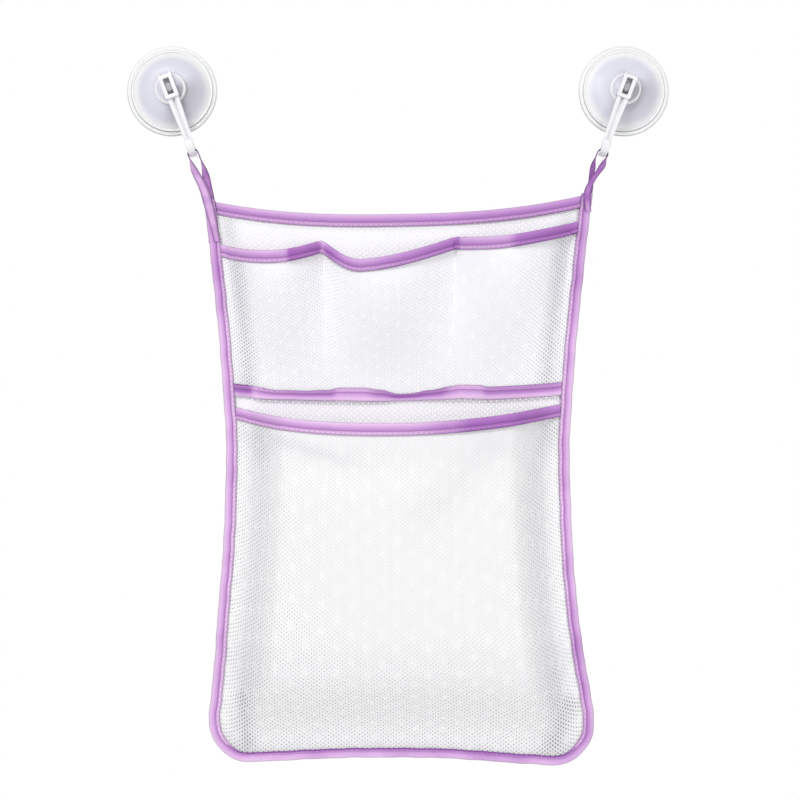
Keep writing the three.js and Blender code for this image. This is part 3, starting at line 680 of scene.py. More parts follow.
def net_panel(name, thread, flat, cell, hole, upper, lower, surface, hole_shade, painted_dim=lambda u, z: 0):
    """A net of a flat width and length, hung between two edges on a surface of the bag. Two functions of a
    place give painted shade from 0 to 1: the first on the inner rings of its holes, the second over all its
    threads."""
    columns = round(flat[0] / cell[0]) + 1
    rows = round(flat[1] / cell[1]) + 1
    net = grown(
        name,
        hexagon_net,
        {
            "Columns": columns,
            "Rows": rows,
            "Cell Width": cell[0],
            "Cell Height": cell[1],
            "Hole": hole,
            "Crest": NET_CREST,
            "Finish": thread,
        },
    )
    layout = np.empty(len(net.data.vertices) * 3, np.float32)
    net.data.vertices.foreach_get("co", layout)
    x, y, lift = layout.reshape(-1, 3).astype(float).T
    u = np.clip(2 * x / ((columns - 1) * cell[0]), -1, 1)
    down = np.clip(0.5 - y / ((rows - 1) * cell[1]), 0, 1)
    z = mix(upper(u), lower(u), down)
    hung = surface(u, z)
    hung[:, 1] -= lift + NET_CREST / 2
    net.data.vertices.foreach_set("co", hung.astype(np.float32).ravel())
    net.data.update()
    # Painted shade on the inner ring of each hole.
    opened = np.where(lift < -NET_CREST / 2, hole_shade(u, z), 0)
    keep(net.data, "deep", np.clip(opened + painted_dim(u, z), 0, 1))
    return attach(net, "bag")


def patch(distance, middle, spread):
    return np.exp(-(((distance - middle) / spread) ** 2))


def from_side(u, z):
    return (1 - np.abs(u)) * cloth_half_width(z)


def back_hole_shade(u, z):
    """Painted shade in the back net's holes: a painted shadow just under the tapes sewn across it, and
    painted shade at its top corners.
    """
    under_top = top_edge(u) - CROSS_TAPE_WIDTH / 2 - z
    under_seam = upper_seam(u) - CROSS_TAPE_WIDTH / 2 - z
    fringe = TOP_FRINGE_SHADE * patch(under_top, FRINGE, FRINGE)
    fringe = fringe + SEAM_FRINGE_SHADE * patch(under_seam, FRINGE, FRINGE)
    corner = patch(from_side(u, z), CORNER_IN, CORNER_WIDTH)
    corner = corner * patch(corner_z - z, CORNER_DOWN, CORNER_HEIGHT)
    return np.clip(fringe + CORNER_HOLE_SHADE * corner, 0, 1)


back_net = net_panel(
    "back_net",
    net_finish("back_thread", BACK_PAINTED_LIGHT_TONE),
    BACK_FLAT,
    BACK_CELL,
    BACK_HOLE,
    upper=lambda u: top_edge(u) + CLOTH_EDGE,
    lower=cloth_bottom,
    surface=back_surface,
    hole_shade=back_hole_shade,
)
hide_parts("back_panel")

# Upper pocket panel. One strip of the same net across the bag, sewn down at the sides, along its foot
# and at two dividers, so that it makes three small pockets. Each pocket's mouth hangs in its own curve.
UPPER_FLAT = (396 * MM, 155 * MM)
POCKET_CELL = (5.2 * MM, 3.75 * MM)
POCKET_HOLE = 0.28
# The upper pockets' thread is set brighter and lilac, though it is the same net: painted light from the
# purple tape.
UPPER_PAINTED_LIGHT_TONE = (0.94, 0.935, 0.97, 1)
TAPE_WIDTH = 10.2 * MM
DIVIDER_LEFT = 68 * MM
DIVIDER_RIGHT = 52 * MM
MOUTH_LEFT_DROP = 43 * MM
DIVIDER_LEFT_DROP = 42 * MM
DIVIDER_RIGHT_DROP = 39 * MM
MOUTH_RIGHT_DROP = 22 * MM
MOUTH_LEFT_SAG = 11.5 * MM
MOUTH_MIDDLE_SAG = 20 * MM
MOUTH_RIGHT_SAG = 8 * MM
MOUTH_LEFT_LOW = 0.55
MOUTH_MIDDLE_LOW = 0.3
MOUTH_RIGHT_LOW = 0.42
UPPER_BULGE = 26 * MM
SEAM_MARGIN = 14 * MM
SIDE_HOLE_SHADE = 0.8
SIDE_IN = 22 * MM
SIDE_WIDTH = 8 * MM

pocket_y = 2 * bag_y - back_y
divider_left = -DIVIDER_LEFT / cloth_half_width(corner_z - DIVIDER_LEFT_DROP)
divider_right = DIVIDER_RIGHT / cloth_half_width(corner_z - DIVIDER_RIGHT_DROP)
POCKET_ENDS = [
    (-1.0, MOUTH_LEFT_DROP),
    (divider_left, DIVIDER_LEFT_DROP),
    (divider_right, DIVIDER_RIGHT_DROP),
    (1.0, MOUTH_RIGHT_DROP),
]
POCKET_SAGS = [
    (MOUTH_LEFT_SAG, MOUTH_LEFT_LOW),
    (MOUTH_MIDDLE_SAG, MOUTH_MIDDLE_LOW),
    (MOUTH_RIGHT_SAG, MOUTH_RIGHT_LOW),
]


def upper_mouth(u):
    """Height of the pockets' mouth. Each pocket's stretch sags most at its own low point."""
    u = np.asarray(u, float)
    z = np.empty_like(u)
    for (start, first), (end, last), (sag, low) in zip(POCKET_ENDS, POCKET_ENDS[1:], POCKET_SAGS):
        t = (u - start) / (end - start)
        quarter = np.where(t < low, t / low, (1 - t) / (1 - low))
        line = corner_z - mix(first, last, t) - sag * np.sin(quarter * math.pi / 2)
        z = np.where((u >= start) | (start == -1), line, z)
    return z


def upper_bulge(u, z):
    """How far the upper pockets stand out: each bellies between its seams, most at the mouth."""
    u = np.asarray(u, float)
    margin = SEAM_MARGIN / cloth_half_width(z)
    across = np.zeros_like(u)
    for (start, _), (end, _) in zip(POCKET_ENDS, POCKET_ENDS[1:]):
        start = np.maximum(start, margin - 1)
        end = np.minimum(end, 1 - margin)
        t = np.clip((u - start) / (end - start), 0, 1)
        across = across + np.sin(math.pi * t)
    seam = upper_seam(u) + SEAM_MARGIN
    rise = smooth((z - seam) / (upper_mouth(u) - TAPE_WIDTH - seam))
    return UPPER_BULGE * across * rise


def upper_surface(u, z):
    return np.stack([column_x(u, z), pocket_y - upper_bulge(u, z), z], axis=-1)


def upper_hole_shade(u, z):
    """Painted shade in the upper pockets' holes down its sides."""
    return SIDE_HOLE_SHADE * patch(from_side(u, z), SIDE_IN, SIDE_WIDTH)


upper_net = net_panel(
    "upper_pocket_net",
    net_finish("upper_thread", UPPER_PAINTED_LIGHT_TONE),
    UPPER_FLAT,
    POCKET_CELL,
    POCKET_HOLE,
    upper=lambda u: upper_mouth(u) + CLOTH_EDGE,
    lower=lambda u: upper_seam(u) - CLOTH_EDGE,
    surface=upper_surface,
    hole_shade=upper_hole_shade,
)
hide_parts("upper_pocket_panel")

# Lower pocket panel. One piece of the same net, cut wider than the bag and sewn in round the sides and
# bottom, so that it stands out as one deep pocket with a flat margin along its seams.
LOWER_FLAT = (381 * MM, 319 * MM)
LOWER_TONE = (0.92, 0.92, 0.93, 1)
LOWER_MOUTH_DROP = 190 * MM
LOWER_MOUTH_SAG = 17 * MM
LOWER_MOUTH_RISE = 2 * MM
LOWER_MOUTH_CURVE = 1.8
LOWER_BULGE = 38 * MM
LOWER_MOUTH_CLOSE = 0.2
FLANK_WIDTH = 44 * MM
FLOOR_RISE = 70 * MM
FLANK_FOLD = 30 * MM
FLANK_TURN = 12 * MM
FOLD_WIDTH = 11 * MM
FLANK_HOLE_SHADE = 0.22
MOUTH_FOLD = (20 * MM, 22 * MM)
MOUTH_HOLE_SHADE = 0.35
FOOT_FOLD = (35 * MM, 32 * MM)
FOOT_HOLE_SHADE = 0.6
BAND_OVER = 0.2
BAND_START = 0.3
BAND_END = 0.5
PAINTED_FOLD_SHADES = [
    (0.3, (-128 * MM, -312 * MM), (-32 * MM, -342 * MM), 6 * MM),
    (0.24, (92 * MM, -316 * MM), (12 * MM, -392 * MM), 17 * MM),
    (0.95, (-142 * MM, -545 * MM), (-138 * MM, -606 * MM), 8 * MM),
    (1, (153 * MM, -553 * MM), (131 * MM, -606 * MM), 11 * MM),
]
MOUTH_PAINTED_DIM = (0.08, 16 * MM, 18 * MM)
TURN_PAINTED_DIM = (0.08, 88 * MM, 18 * MM)
FOOT_PAINTED_DIM = (0.3, 0, 16 * MM)


def lower_mouth(u):
    return hang(u, LOWER_MOUTH_DROP, LOWER_MOUTH_SAG, LOWER_MOUTH_RISE, LOWER_MOUTH_CURVE)


def lower_bulge(u, z):
    """How far the lower pocket stands out: most between its flanks and floor, a little less at its mouth."""
    from_floor = z - cloth_bottom(u)
    flank = smooth((from_side(u, z) - SEAM_MARGIN) / FLANK_WIDTH)
    floor = smooth((from_floor - SEAM_MARGIN) / FLOOR_RISE)
    closing = LOWER_MOUTH_CLOSE * smooth(1 - (lower_mouth(u) - z) / FLOOR_RISE)
    return LOWER_BULGE * flank * floor * (1 - closing)


def lower_surface(u, z):
    return np.stack([column_x(u, z), pocket_y - lower_bulge(u, z), z], axis=-1)


def fold_shade_band(x, z, start, end, spread):
    """A band of painted shade, where a fold would lie, between two points of the bag's front, fading out at
    its ends.
    """
    run = np.subtract(end, start)
    length = np.hypot(*run)
    along = ((x - start[0]) * run[0] + (z - start[1]) * run[1]) / length**2
    across = ((x - start[0]) * run[1] - (z - start[1]) * run[0]) / length
    begun = smooth((along + BAND_OVER) / BAND_START)
    ended = smooth((1 + BAND_OVER - along) / BAND_END)
    return patch(across, 0, spread) * begun * ended


def lower_hole_shade(u, z):
    """Painted shade in the lower pocket's holes down its flanks, most near its mouth and its bottom corners,
    and in bands where folds would hang from the ends of its mouth and run out in those corners."""
    mouth = patch(lower_mouth(u) - z, *MOUTH_FOLD)
    corner = patch(z - bottom_z, *FOOT_FOLD)
    flank = patch(from_side(u, z), FLANK_FOLD - FLANK_TURN * mouth * (u > 0), FOLD_WIDTH)
    hole_shade = flank * (FLANK_HOLE_SHADE + MOUTH_HOLE_SHADE * mouth + FOOT_HOLE_SHADE * corner)
    x = u * cloth_half_width(z)
    for strength, start, end, spread in PAINTED_FOLD_SHADES:
        hole_shade = np.maximum(hole_shade, strength * fold_shade_band(x, z, start, end, spread))
    return hole_shade


def lower_painted_dim(u, z):
    """Painted shade over all its threads: below its mouth, where it turns in, and most at its foot."""
    rise = z - cloth_bottom(u)
    painted_dim = 0
    for distance, (strength, middle, spread) in (
        (lower_mouth(u) - z, MOUTH_PAINTED_DIM),
        (rise, TURN_PAINTED_DIM),
        (rise, FOOT_PAINTED_DIM),
    ):
        painted_dim = painted_dim + strength * patch(distance, middle, spread)
    return painted_dim


lower_net = net_panel(
    "lower_pocket_net",
    net_finish("lower_thread", LOWER_TONE),
    LOWER_FLAT,
    POCKET_CELL,
    POCKET_HOLE,
    upper=lambda u: lower_mouth(u) + CLOTH_EDGE,
    lower=cloth_bottom,
    surface=lower_surface,
    hole_shade=lower_hole_shade,
    painted_dim=lower_painted_dim,
)
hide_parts("lower_pocket_panel")

# Bindings. Purple satin tape is folded over each edge of the net and sewn through with one row of
# stitches near its free edges. The sewing draws a crease in it, and the fold beyond stands up in a roll.
NET_THICKNESS = 0.8 * MM
TAPE = 0.6 * MM
CREASE = 1.5 * MM
CREASE_WIDTH = 0.55 * MM
CREASE_DEPTH = 0.45 * MM
PUFF = 0.7 * MM
CROSS_PUFF = 0.35 * MM
PUFF_CHANGE = 0.3
CROSS_PUFF_WAVES = (43 * MM, 19 * MM, 11 * MM)
WAVE_SHIFT = 1.7
LIP_RISE = 0.2 * MM
STITCH_INSET = 1.9 * MM
TAPE_STEP = 2.5 * MM
TAPE_POINTS = 31
TAPE_SHARP = math.radians(60)
EDGE_NUDGE = 1e-3
FOLD_FROM = 0.5
EDGE_SHARE = 0.25
# The tape's purple across its width, with a painted highlight on the roll and painted shade in the crease
# and at the edges.
TAPE_TONES_AND_PAINTED_SHADE = [
    (0.0, (0.34, 0.21, 0.37)),
    (0.06, (0.60, 0.36, 0.65)),
    (0.13, (0.72, 0.46, 0.76)),
    (0.28, (0.70, 0.43, 0.74)),
    (0.34, (0.40, 0.17, 0.46)),
    (0.42, (0.55, 0.28, 0.63)),
    (0.7, (0.75, 0.46, 0.81)),
    (0.9, (0.86, 0.62, 0.88)),
    (0.96, (0.78, 0.58, 0.80)),
    (1.0, (0.46, 0.33, 0.48)),
]
TONE_DRIFT = 0.1
CLOUDS_PER_METRE = 110.0
FULL_LIGHT = (1, 1, 1, 1)
TURNED_TONE = (0.5, 0.27, 0.6, 1)


def wander(length, *periods):
    """A slow unevenness along a length, from -1 to 1, the sum of a few waves."""
    turns = [2 * math.pi * length / period + WAVE_SHIFT * i for i, period in enumerate(periods)]
    return sum(np.sin(turn) for turn in turns) / len(turns)


def tape_face(a, face, puff, half):
    """Height of a folded tape's face over the cloth's middle. a is measured in from the tape's middle."""
    roll = np.clip((CREASE - a) / (CREASE + half), 0, 1)
    lip = np.clip((a - CREASE) / (half - CREASE), 0, 1)
    crease = CREASE_DEPTH * puff / PUFF * patch(a, CREASE, CREASE_WIDTH)
    height = face + puff * np.sin(math.pi * roll) + LIP_RISE * np.sin(math.pi * lip) - crease
    turn = np.clip((a + half) / (face + PUFF), 0, 1)
    return height * np.sqrt(1 - (1 - turn) ** 2)


def tape_section(slot_half, puff, width):
    """Closed sections of a folded tape, (across, along) at each station, and the share of its width
    round them from the front's free edge, over the fold, to the back's."""
    half = width / 2
    run = half * np.cos(np.linspace(0, math.pi, TAPE_POINTS))
    rise = tape_face(run, slot_half + TAPE, puff[:, None], half)
    front = np.stack([-rise, np.broadcast_to(run, rise.shape)], axis=-1)
    back = front[:, -2::-1] * [-1, 1]
    inner = TAPE - half
    inside = [(slot_half, half), (slot_half, inner), (-slot_half, inner), (-slot_half, half)]
    share = (half - run) / width
    around = np.concatenate([share, 2 - share[-2::-1], np.zeros(len(inside))])
    inside = np.broadcast_to(np.array(inside), (len(puff), len(inside), 2))
    return np.concatenate([front, back, inside], axis=1), around


def from_free_edge(around):
    """Share of the width from the nearer free edge of a folded tape."""
    return np.minimum(around, 2 - around)


def lengths(points):
    return np.concatenate([[0], np.cumsum(np.linalg.norm(np.diff(points, axis=0), axis=1))])


def swept(name, origin, across, along, section, around, turned, material):
    """Closed sections joined from station to station. Length and share of the width are kept as a UV
    map, and how far the tape is turned from the light as an attribute."""
    count, ring = section.shape[:2]
    beside = across[:, None, :] * section[:, :, :1]
    verts = origin[:, None, :] + beside + along[:, None, :] * section[:, :, 1:]
    faces = []
    for i in range(count - 1):
        for j in range(ring):
            k = (j + 1) % ring
            faces.append((i * ring + j, i * ring + k, (i + 1) * ring + k, (i + 1) * ring + j))
    faces.append(tuple(range(ring)))
    faces.append(tuple((count - 1) * ring + j for j in range(ring)))
    made = mesh_object(name, verts.reshape(-1, 3), faces, [material])
    around = np.broadcast_to(around, (count, ring))
    flat = np.stack([np.repeat(lengths(origin), ring), around.ravel()], axis=-1)
    corners = np.empty(len(made.data.loops), np.int32)
    made.data.loops.foreach_get("vertex_index", corners)
    uv = made.data.uv_layers.new(name="Tape")
    uv.data.foreach_set("uv", flat[corners].astype(np.float32).ravel())
    keep(made.data, "turned", np.broadcast_to(turned, (count, ring)))
    made.data.set_sharp_from_angle(angle=TAPE_SHARP)
    return made


def turned_tone(tree, colour):
    """A colour that deepens where the tape is turned from the light."""
    dimming = blended(tree, kept(tree, "turned"), FULL_LIGHT, TURNED_TONE)
    return blended(tree, 1.0, colour, dimming, blend="MULTIPLY")


def satin(tree):
    """Satin tape, finely ribbed and purple, with a painted highlight on the fold's roll and painted shade in
    the crease and at the free edge.
    """
    flat = axes(tree, mapped(tree, "Tape"))
    length = place(tree, "ShaderNodeCombineXYZ", {"X": flat["X"]}).outputs["Vector"]
    clouds = {"Vector": length, "Scale": CLOUDS_PER_METRE, "Detail": 4.0}
    cloud = place(tree, "ShaderNodeTexNoise", clouds).outputs["Fac"]
    drift = reckon(tree, "MULTIPLY_ADD", cloud, TONE_DRIFT, -TONE_DRIFT / 2)
    share = reckon(tree, "ADD", reckon(tree, "PINGPONG", flat["Y"], 1.0), drift)
    tones = place(tree, "ShaderNodeValToRGB", {"Fac": share})
    ramp = tones.color_ramp.elements
    while len(ramp) < len(TAPE_TONES_AND_PAINTED_SHADE):
        ramp.new(0.5)
    for stop, (at, colour) in zip(ramp, TAPE_TONES_AND_PAINTED_SHADE):
        stop.position = at
        stop.color = (*colour, 1)
    colour = turned_tone(tree, tones.outputs["Color"])
    return {
        "Roughness": 0.45,
        "Sheen Weight": 0.1,
        "Sheen Roughness": 0.4,
        **woven_finish(tree, colour, thread=0.4 * MM, fleck=0.12, depth=0.2 * MM),
    }


satin_tape = finish("satin_tape", satin)


def edge_stations(name, edge, surface, inward, ends):
    """Stations of a tape along an edge of a panel. inward is 1 where the cloth lies above, -1 below."""
    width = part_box(name)[1].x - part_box(name)[0].x
    u = np.linspace(-ends[0], ends[1], round(width / TAPE_STEP))
    z = edge(u)
    origin = surface(u, z)
    before, after = u - EDGE_NUDGE, u + EDGE_NUDGE
    run = surface(after, edge(after)) - surface(before, edge(before))
    along = surface(u, z + inward * CLOTH_EDGE) - origin
    along /= np.linalg.norm(along, axis=1, keepdims=True)
    across = np.cross(along, run)
    across /= np.linalg.norm(across, axis=1, keepdims=True)
    across *= np.where(across[:, 1:2] < 0, -1, 1)
    return u, (origin, across, along)


def tape_end(z):
    return (half_width(z) - TAPE_WIDTH / 2 - SEW_GAP) / cloth_half_width(z)


def leaned(across, along, lean):
    """The two directions of a section, with the fold leaned out to the front by an angle."""
    turn = lean[:, None]
    forward = across * np.cos(turn) - along * np.sin(turn)
    return forward, along * np.cos(turn) + across * np.sin(turn)


def keyed(u, keys, column):
    """A value at positions across the bag, eased between given keys."""
    at = np.array(keys, float)
    k = np.clip(np.searchsorted(at[:, 0], u, side="right") - 1, 0, len(at) - 2)
    t = smooth((u - at[k, 0]) / (at[k + 1, 0] - at[k, 0]))
    return mix(at[k, column], at[k + 1, column], t)


stitch_rows = []


def stitch_row(origin, across, along, slot_half, line, turned):
    """Keeps a tape's front and back stitch lines: points, the way out of the tape, and its turn."""
    reach = slot_half + TAPE + LIP_RISE
    for way in (-1, 1):
        stitch_rows.append((origin + along * line + across * way * reach, across * way, turned))


def in_width(section, share):
    """Sections brought to a share of their width, one for each station."""
    return section * np.stack([np.ones(len(share)), share], axis=-1)[:, None]


def pinched(origin, along, section, width, share):
    """Section and middle of a tape that is rolled to a share of its width, with its fold in place."""
    return origin - along * (width / 2 * (1 - share))[:, None], in_width(section, share)


def edge_tape(node, edge, surface, inward, keys, lit_fold=0, pinch=((-1, 1), (1, 1))):
    """A tape along an edge of a panel. keys are (position, lean in degrees, rise in mm, turn from the
    light) across the bag, and pinch is (position, share of the width). lit_fold is how much of the turn
    the fold is spared."""
    ends = tape_end(edge(np.array([-1.0, 1.0])))
    u, (origin, across, along) = edge_stations(node, edge, surface, inward, ends)
    length = lengths(origin)
    half = CROSS_TAPE_WIDTH / 2
    lean = np.radians(keyed(u, keys, 1))
    across, along = leaned(across, along, lean)
    forward = half * np.abs(np.sin(lean))
    origin = origin + np.stack([0 * u, -forward, keyed(u, keys, 2) * MM], axis=-1)
    puff = CROSS_PUFF * (1 + PUFF_CHANGE * wander(length, *CROSS_PUFF_WAVES))
    slot_half = NET_THICKNESS / 2 + SEW_GAP
    section, around = tape_section(slot_half, puff, CROSS_TAPE_WIDTH)
    share = keyed(u, pinch, 1)
    origin, section = pinched(origin, along, section, CROSS_TAPE_WIDTH, share)
    spared = 1 - lit_fold * smooth((from_free_edge(around) - FOLD_FROM) / EDGE_SHARE)
    turned = np.outer(keyed(u, keys, 3), spared)
    name = node.replace("binding", "tape")
    tape = swept(name, origin, across, along, section, around, turned, satin_tape)
    line = (half - STITCH_INSET) * share[:, None]
    stitch_row(origin, across, along, slot_half, line, turned[:, 0] + lit_fold)
    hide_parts(node)
    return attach(tape, "bag")


# Top edge binding. A length of that tape over the back panel's upper edge, which sags between the bag's
# two top corners. Its ends butt against the edge binding.
TOP_KEYS = [
    (-1, 0, 0, 0.55),
    (-0.7, 4, 0, 0.38),
    (0, 2, 0, 0.4),
    (0.5, -4, 0, 0.55),
    (1, -6, 0, 0.65),
]
top_tape = edge_tape("top_edge_binding", top_edge, back_surface, -1, TOP_KEYS)

# Upper mouth binding. One length of that tape over the three small pockets' mouth, sewn to the back at
# the two dividers. It turns from the light beside each of them.
UPPER_MOUTH_KEYS = [
    (-1, 0, 0, 0.4),
    (-0.9, 4, 0, 0.3),
    (-0.6, 4, 0, 0.35),
    (-0.575, -12, 0, 1),
    (-0.5, -14, 0, 0.9),
    (-0.43, -8, 0, 0.9),
    (-0.412, 6, 0, 0.1),
    (-0.398, 6, 0, 0.1),
    (-0.38, -6, 0, 0.75),
    (-0.34, -20, 0, 0.85),
    (-0.27, -6, 0, 0.6),
    (-0.2, 0, 0, 0.5),
    (0, -8, 0, 0.7),
    (0.25, -14, 0, 0.8),
    (0.31, -10, 0, 0.85),
    (0.325, -4, 0, 0.95),
    (0.345, 8, 0, 0.35),
    (0.57, 6, 0, 0.4),
    (0.63, -12, 0, 0.9),
    (0.93, -14, 0, 0.95),
    (1, -14, 0, 0.8),
]
upper_mouth_tape = edge_tape("upper_mouth_binding", upper_mouth, upper_surface, -1, UPPER_MOUTH_KEYS)

# Upper seam binding. A length of that tape on the three small pockets' foot, sewn through to the back.
# The sewing gathers it, so that it waves and its width changes. Its fold hangs down and keeps the light.
UPPER_SEAM_LIT = 0.7
UPPER_SEAM_KEYS = [
    (-1, -10, 1, 0.75),
    (-0.86, -10, 0.2, 0.9),
    (-0.825, 12, -0.4, 0.1),
    (-0.77, 12, -0.6, 0.4),
    (-0.6, 12, 0.1, 0.6),
    (-0.39, 12, 0.3, 0.7),
    (-0.34, 12, 0.6, 0.1),
    (-0.2, 12, 0.3, 0.1),
    (-0.1, 8, 0.2, 0.6),
    (0, 0, 0.9, 0.9),
    (0.08, 0, 1.3, 0.9),
    (0.25, 4, 1.6, 0.75),
    (0.32, 12, 2, 0.2),
    (0.36, 12, 2.2, 0.05),
    (0.47, 12, 1.6, 0.05),
    (0.52, 10, 0.8, 0.6),
    (0.88, 10, 1, 0.6),
    (0.95, 8, 1.6, 0.4),
    (1, 8, 3.4, 0.5),
]
UPPER_SEAM_PINCH = [
    (-1, 1.0),
    (-0.84, 1.0),
    (-0.69, 0.78),
    (-0.54, 0.78),
    (-0.4, 0.88),
    (-0.34, 1.05),
    (-0.2, 1.1),
    (-0.1, 0.95),
    (0, 0.58),
    (0.07, 0.58),
    (0.18, 0.8),
    (0.3, 1.05),
    (0.35, 1.15),
    (0.47, 1.15),
    (0.53, 1.05),
    (1, 1.05),
]
upper_seam_tape = edge_tape(
    "upper_seam_binding",
    upper_seam,
    upper_surface,
    1,
    UPPER_SEAM_KEYS,
    UPPER_SEAM_LIT,
    UPPER_SEAM_PINCH,
)

# Lower mouth binding. A length of that tape over the wide pocket's mouth, which stands out from the back
# in one long curve. Its right half is turned from the light.
LOWER_MOUTH_KEYS = [
    (-1, 0, 0, 0.45),
    (-0.85, 0, 0, 0.25),
    (-0.5, 2, 0, 0.15),
    (-0.1, 2, 0, 0.15),
    (0.1, 0, 0, 0.25),
    (0.3, -6, 0, 0.6),
    (0.42, -12, 0, 0.95),
    (0.7, -12, 0, 0.95),
    (1, -10, 0, 0.75),
]
lower_mouth_tape = edge_tape("lower_mouth_binding", lower_mouth, lower_surface, -1, LOWER_MOUTH_KEYS)

# Edge binding. One length of the same tape runs down the left side, along the bottom and up the right
# side, over the back panel and the pocket panels together. Along the bottom it is rolled to the back.
RIM_WOBBLE = 0.4 * MM
WOBBLE_EASE = 20 * MM
WOBBLE_WAVES = (97 * MM, 41 * MM, 23 * MM)
RIM_PUFF_WAVES = (61 * MM, 23 * MM, 13 * MM)
RIM_SHADE_WANDER = 0.25
RIM_SHADE_WAVES = (173 * MM, 83 * MM, 37 * MM)
SHOULDER_PAINTED_SHADE = 0.45
SHOULDER_RUN = 190 * MM
LOW_RIGHT_PAINTED_SHADE = 0.3
LOW_DROP = 250 * MM
LOW_RUN = 150 * MM
ROLLED_FROM = 0.5
ROLLED_SHARE = 0.69
ROLLED_WIDTH = 0.88
ROLLED_EDGE_PAINTED_SHADE = 1.3
CORNER_STEPS = 18


def corner_height(side):
    return corner_z + RIGHT_RISE if side > 0 else corner_z


def side_line(side):
    """Middle of the edge binding down one side and round its bottom corner."""
    arc_z = float(foot_z(side * foot_inside)) + BOTTOM_CORNER
    top = corner_height(side) - SEW_GAP
    z = np.linspace(top, arc_z, round((top - arc_z) / TAPE_STEP))
    straight = np.stack([middle_x(z) + side * half_width(z), z], axis=-1)
    turn = np.linspace(0, math.pi / 2, CORNER_STEPS)[1:]
    x = FOOT_SHIFT + side * (foot_inside + BOTTOM_CORNER * np.cos(turn))
    return np.concatenate([straight, np.stack([x, arc_z - BOTTOM_CORNER * np.sin(turn)], axis=-1)])


def rim_line():
    """Middle of the edge binding: down the left side, along the bottom and up the right side."""
    x = np.linspace(-foot_inside, foot_inside, round(2 * foot_inside / TAPE_STEP))[1:-1]
    bottom = np.stack([FOOT_SHIFT + x, bottom_line(x)], axis=-1)
    return np.concatenate([side_line(-1), bottom, side_line(1)[::-1]])


def rim_tape():
    """The edge binding's tape. It wobbles, and has painted shade: darkest at its shoulders and low on the
    right, and dark along its free edge where it is rolled.
    """
    line = rim_line()
    run = np.gradient(line, axis=0)
    run /= np.linalg.norm(run, axis=1, keepdims=True)
    run[[0, -1]] = [[0, -1], [0, 1]]
    origin = np.stack([line[:, 0], np.full(len(line), bag_y), line[:, 1]], axis=-1)
    across = np.tile([0.0, 1.0, 0.0], (len(line), 1))
    along = np.stack([-run[:, 1], np.zeros(len(line)), run[:, 0]], axis=-1)
    length = lengths(origin)
    from_end = np.minimum(length, length[-1] - length)
    wobble = RIM_WOBBLE * wander(length, *WOBBLE_WAVES) * smooth(from_end / WOBBLE_EASE)
    origin = origin + along * wobble[:, None]
    puff = PUFF * (1 + PUFF_CHANGE * wander(length, *RIM_PUFF_WAVES))
    slot_half = abs(back_y - bag_y) + NET_THICKNESS / 2 + SEW_GAP
    section, around = tape_section(slot_half, puff, TAPE_WIDTH)
    shaded = SHOULDER_PAINTED_SHADE * (1 - smooth(from_end / SHOULDER_RUN))
    low = smooth((corner_z - line[:, 1] - LOW_DROP) / LOW_RUN)
    shaded = shaded + LOW_RIGHT_PAINTED_SHADE * low * smooth(1 + line[:, 0] / foot_inside)
    shaded = np.clip(shaded + RIM_SHADE_WANDER * wander(length, *RIM_SHADE_WAVES), 0, 1)
    rolled = smooth((np.abs(run[:, 0]) - ROLLED_FROM) / (1 - ROLLED_FROM))
    share = mix(1, ROLLED_WIDTH, rolled)
    origin, section = pinched(origin, along, section, TAPE_WIDTH, share)
    free_edge = 1 - smooth(from_free_edge(around) / EDGE_SHARE)
    turned = shaded[:, None] + ROLLED_EDGE_PAINTED_SHADE * rolled[:, None] * free_edge
    around = 1 + (around - 1) * mix(1, ROLLED_SHARE, rolled[:, None])
    tape = swept("edge_tape", origin, across, along, section, around, turned, satin_tape)
    stitch_line = TAPE_WIDTH / 2 - STITCH_INSET
    stitch_row(origin, across, along, slot_half, stitch_line, turned[:, 0] + rolled)
    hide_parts("edge_binding")
    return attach(tape, "bag")


rim = rim_tape()

# Stitches. One row of lighter thread runs along the lip of every tape, front and back, and holds it to
# the net. Each stitch is a small bead of thread, a little longer or shorter than the next.
STITCH_PITCH = 4.5 * MM
STITCH_LENGTH = 3.2 * MM
STITCH_WIDTH = 0.7 * MM
SHORTEST_STITCH = 0.88
LONGEST_STITCH = 1.08
STITCH_SEED = 3
THREAD_TONE = (0.98, 0.82, 0.99, 1)


def sewing(tree):
    colour = turned_tone(tree, THREAD_TONE)
    threads = woven_finish(tree, colour, thread=0.3 * MM, fleck=0.15, depth=0.1 * MM)
    return {"Roughness": 0.5, **threads}


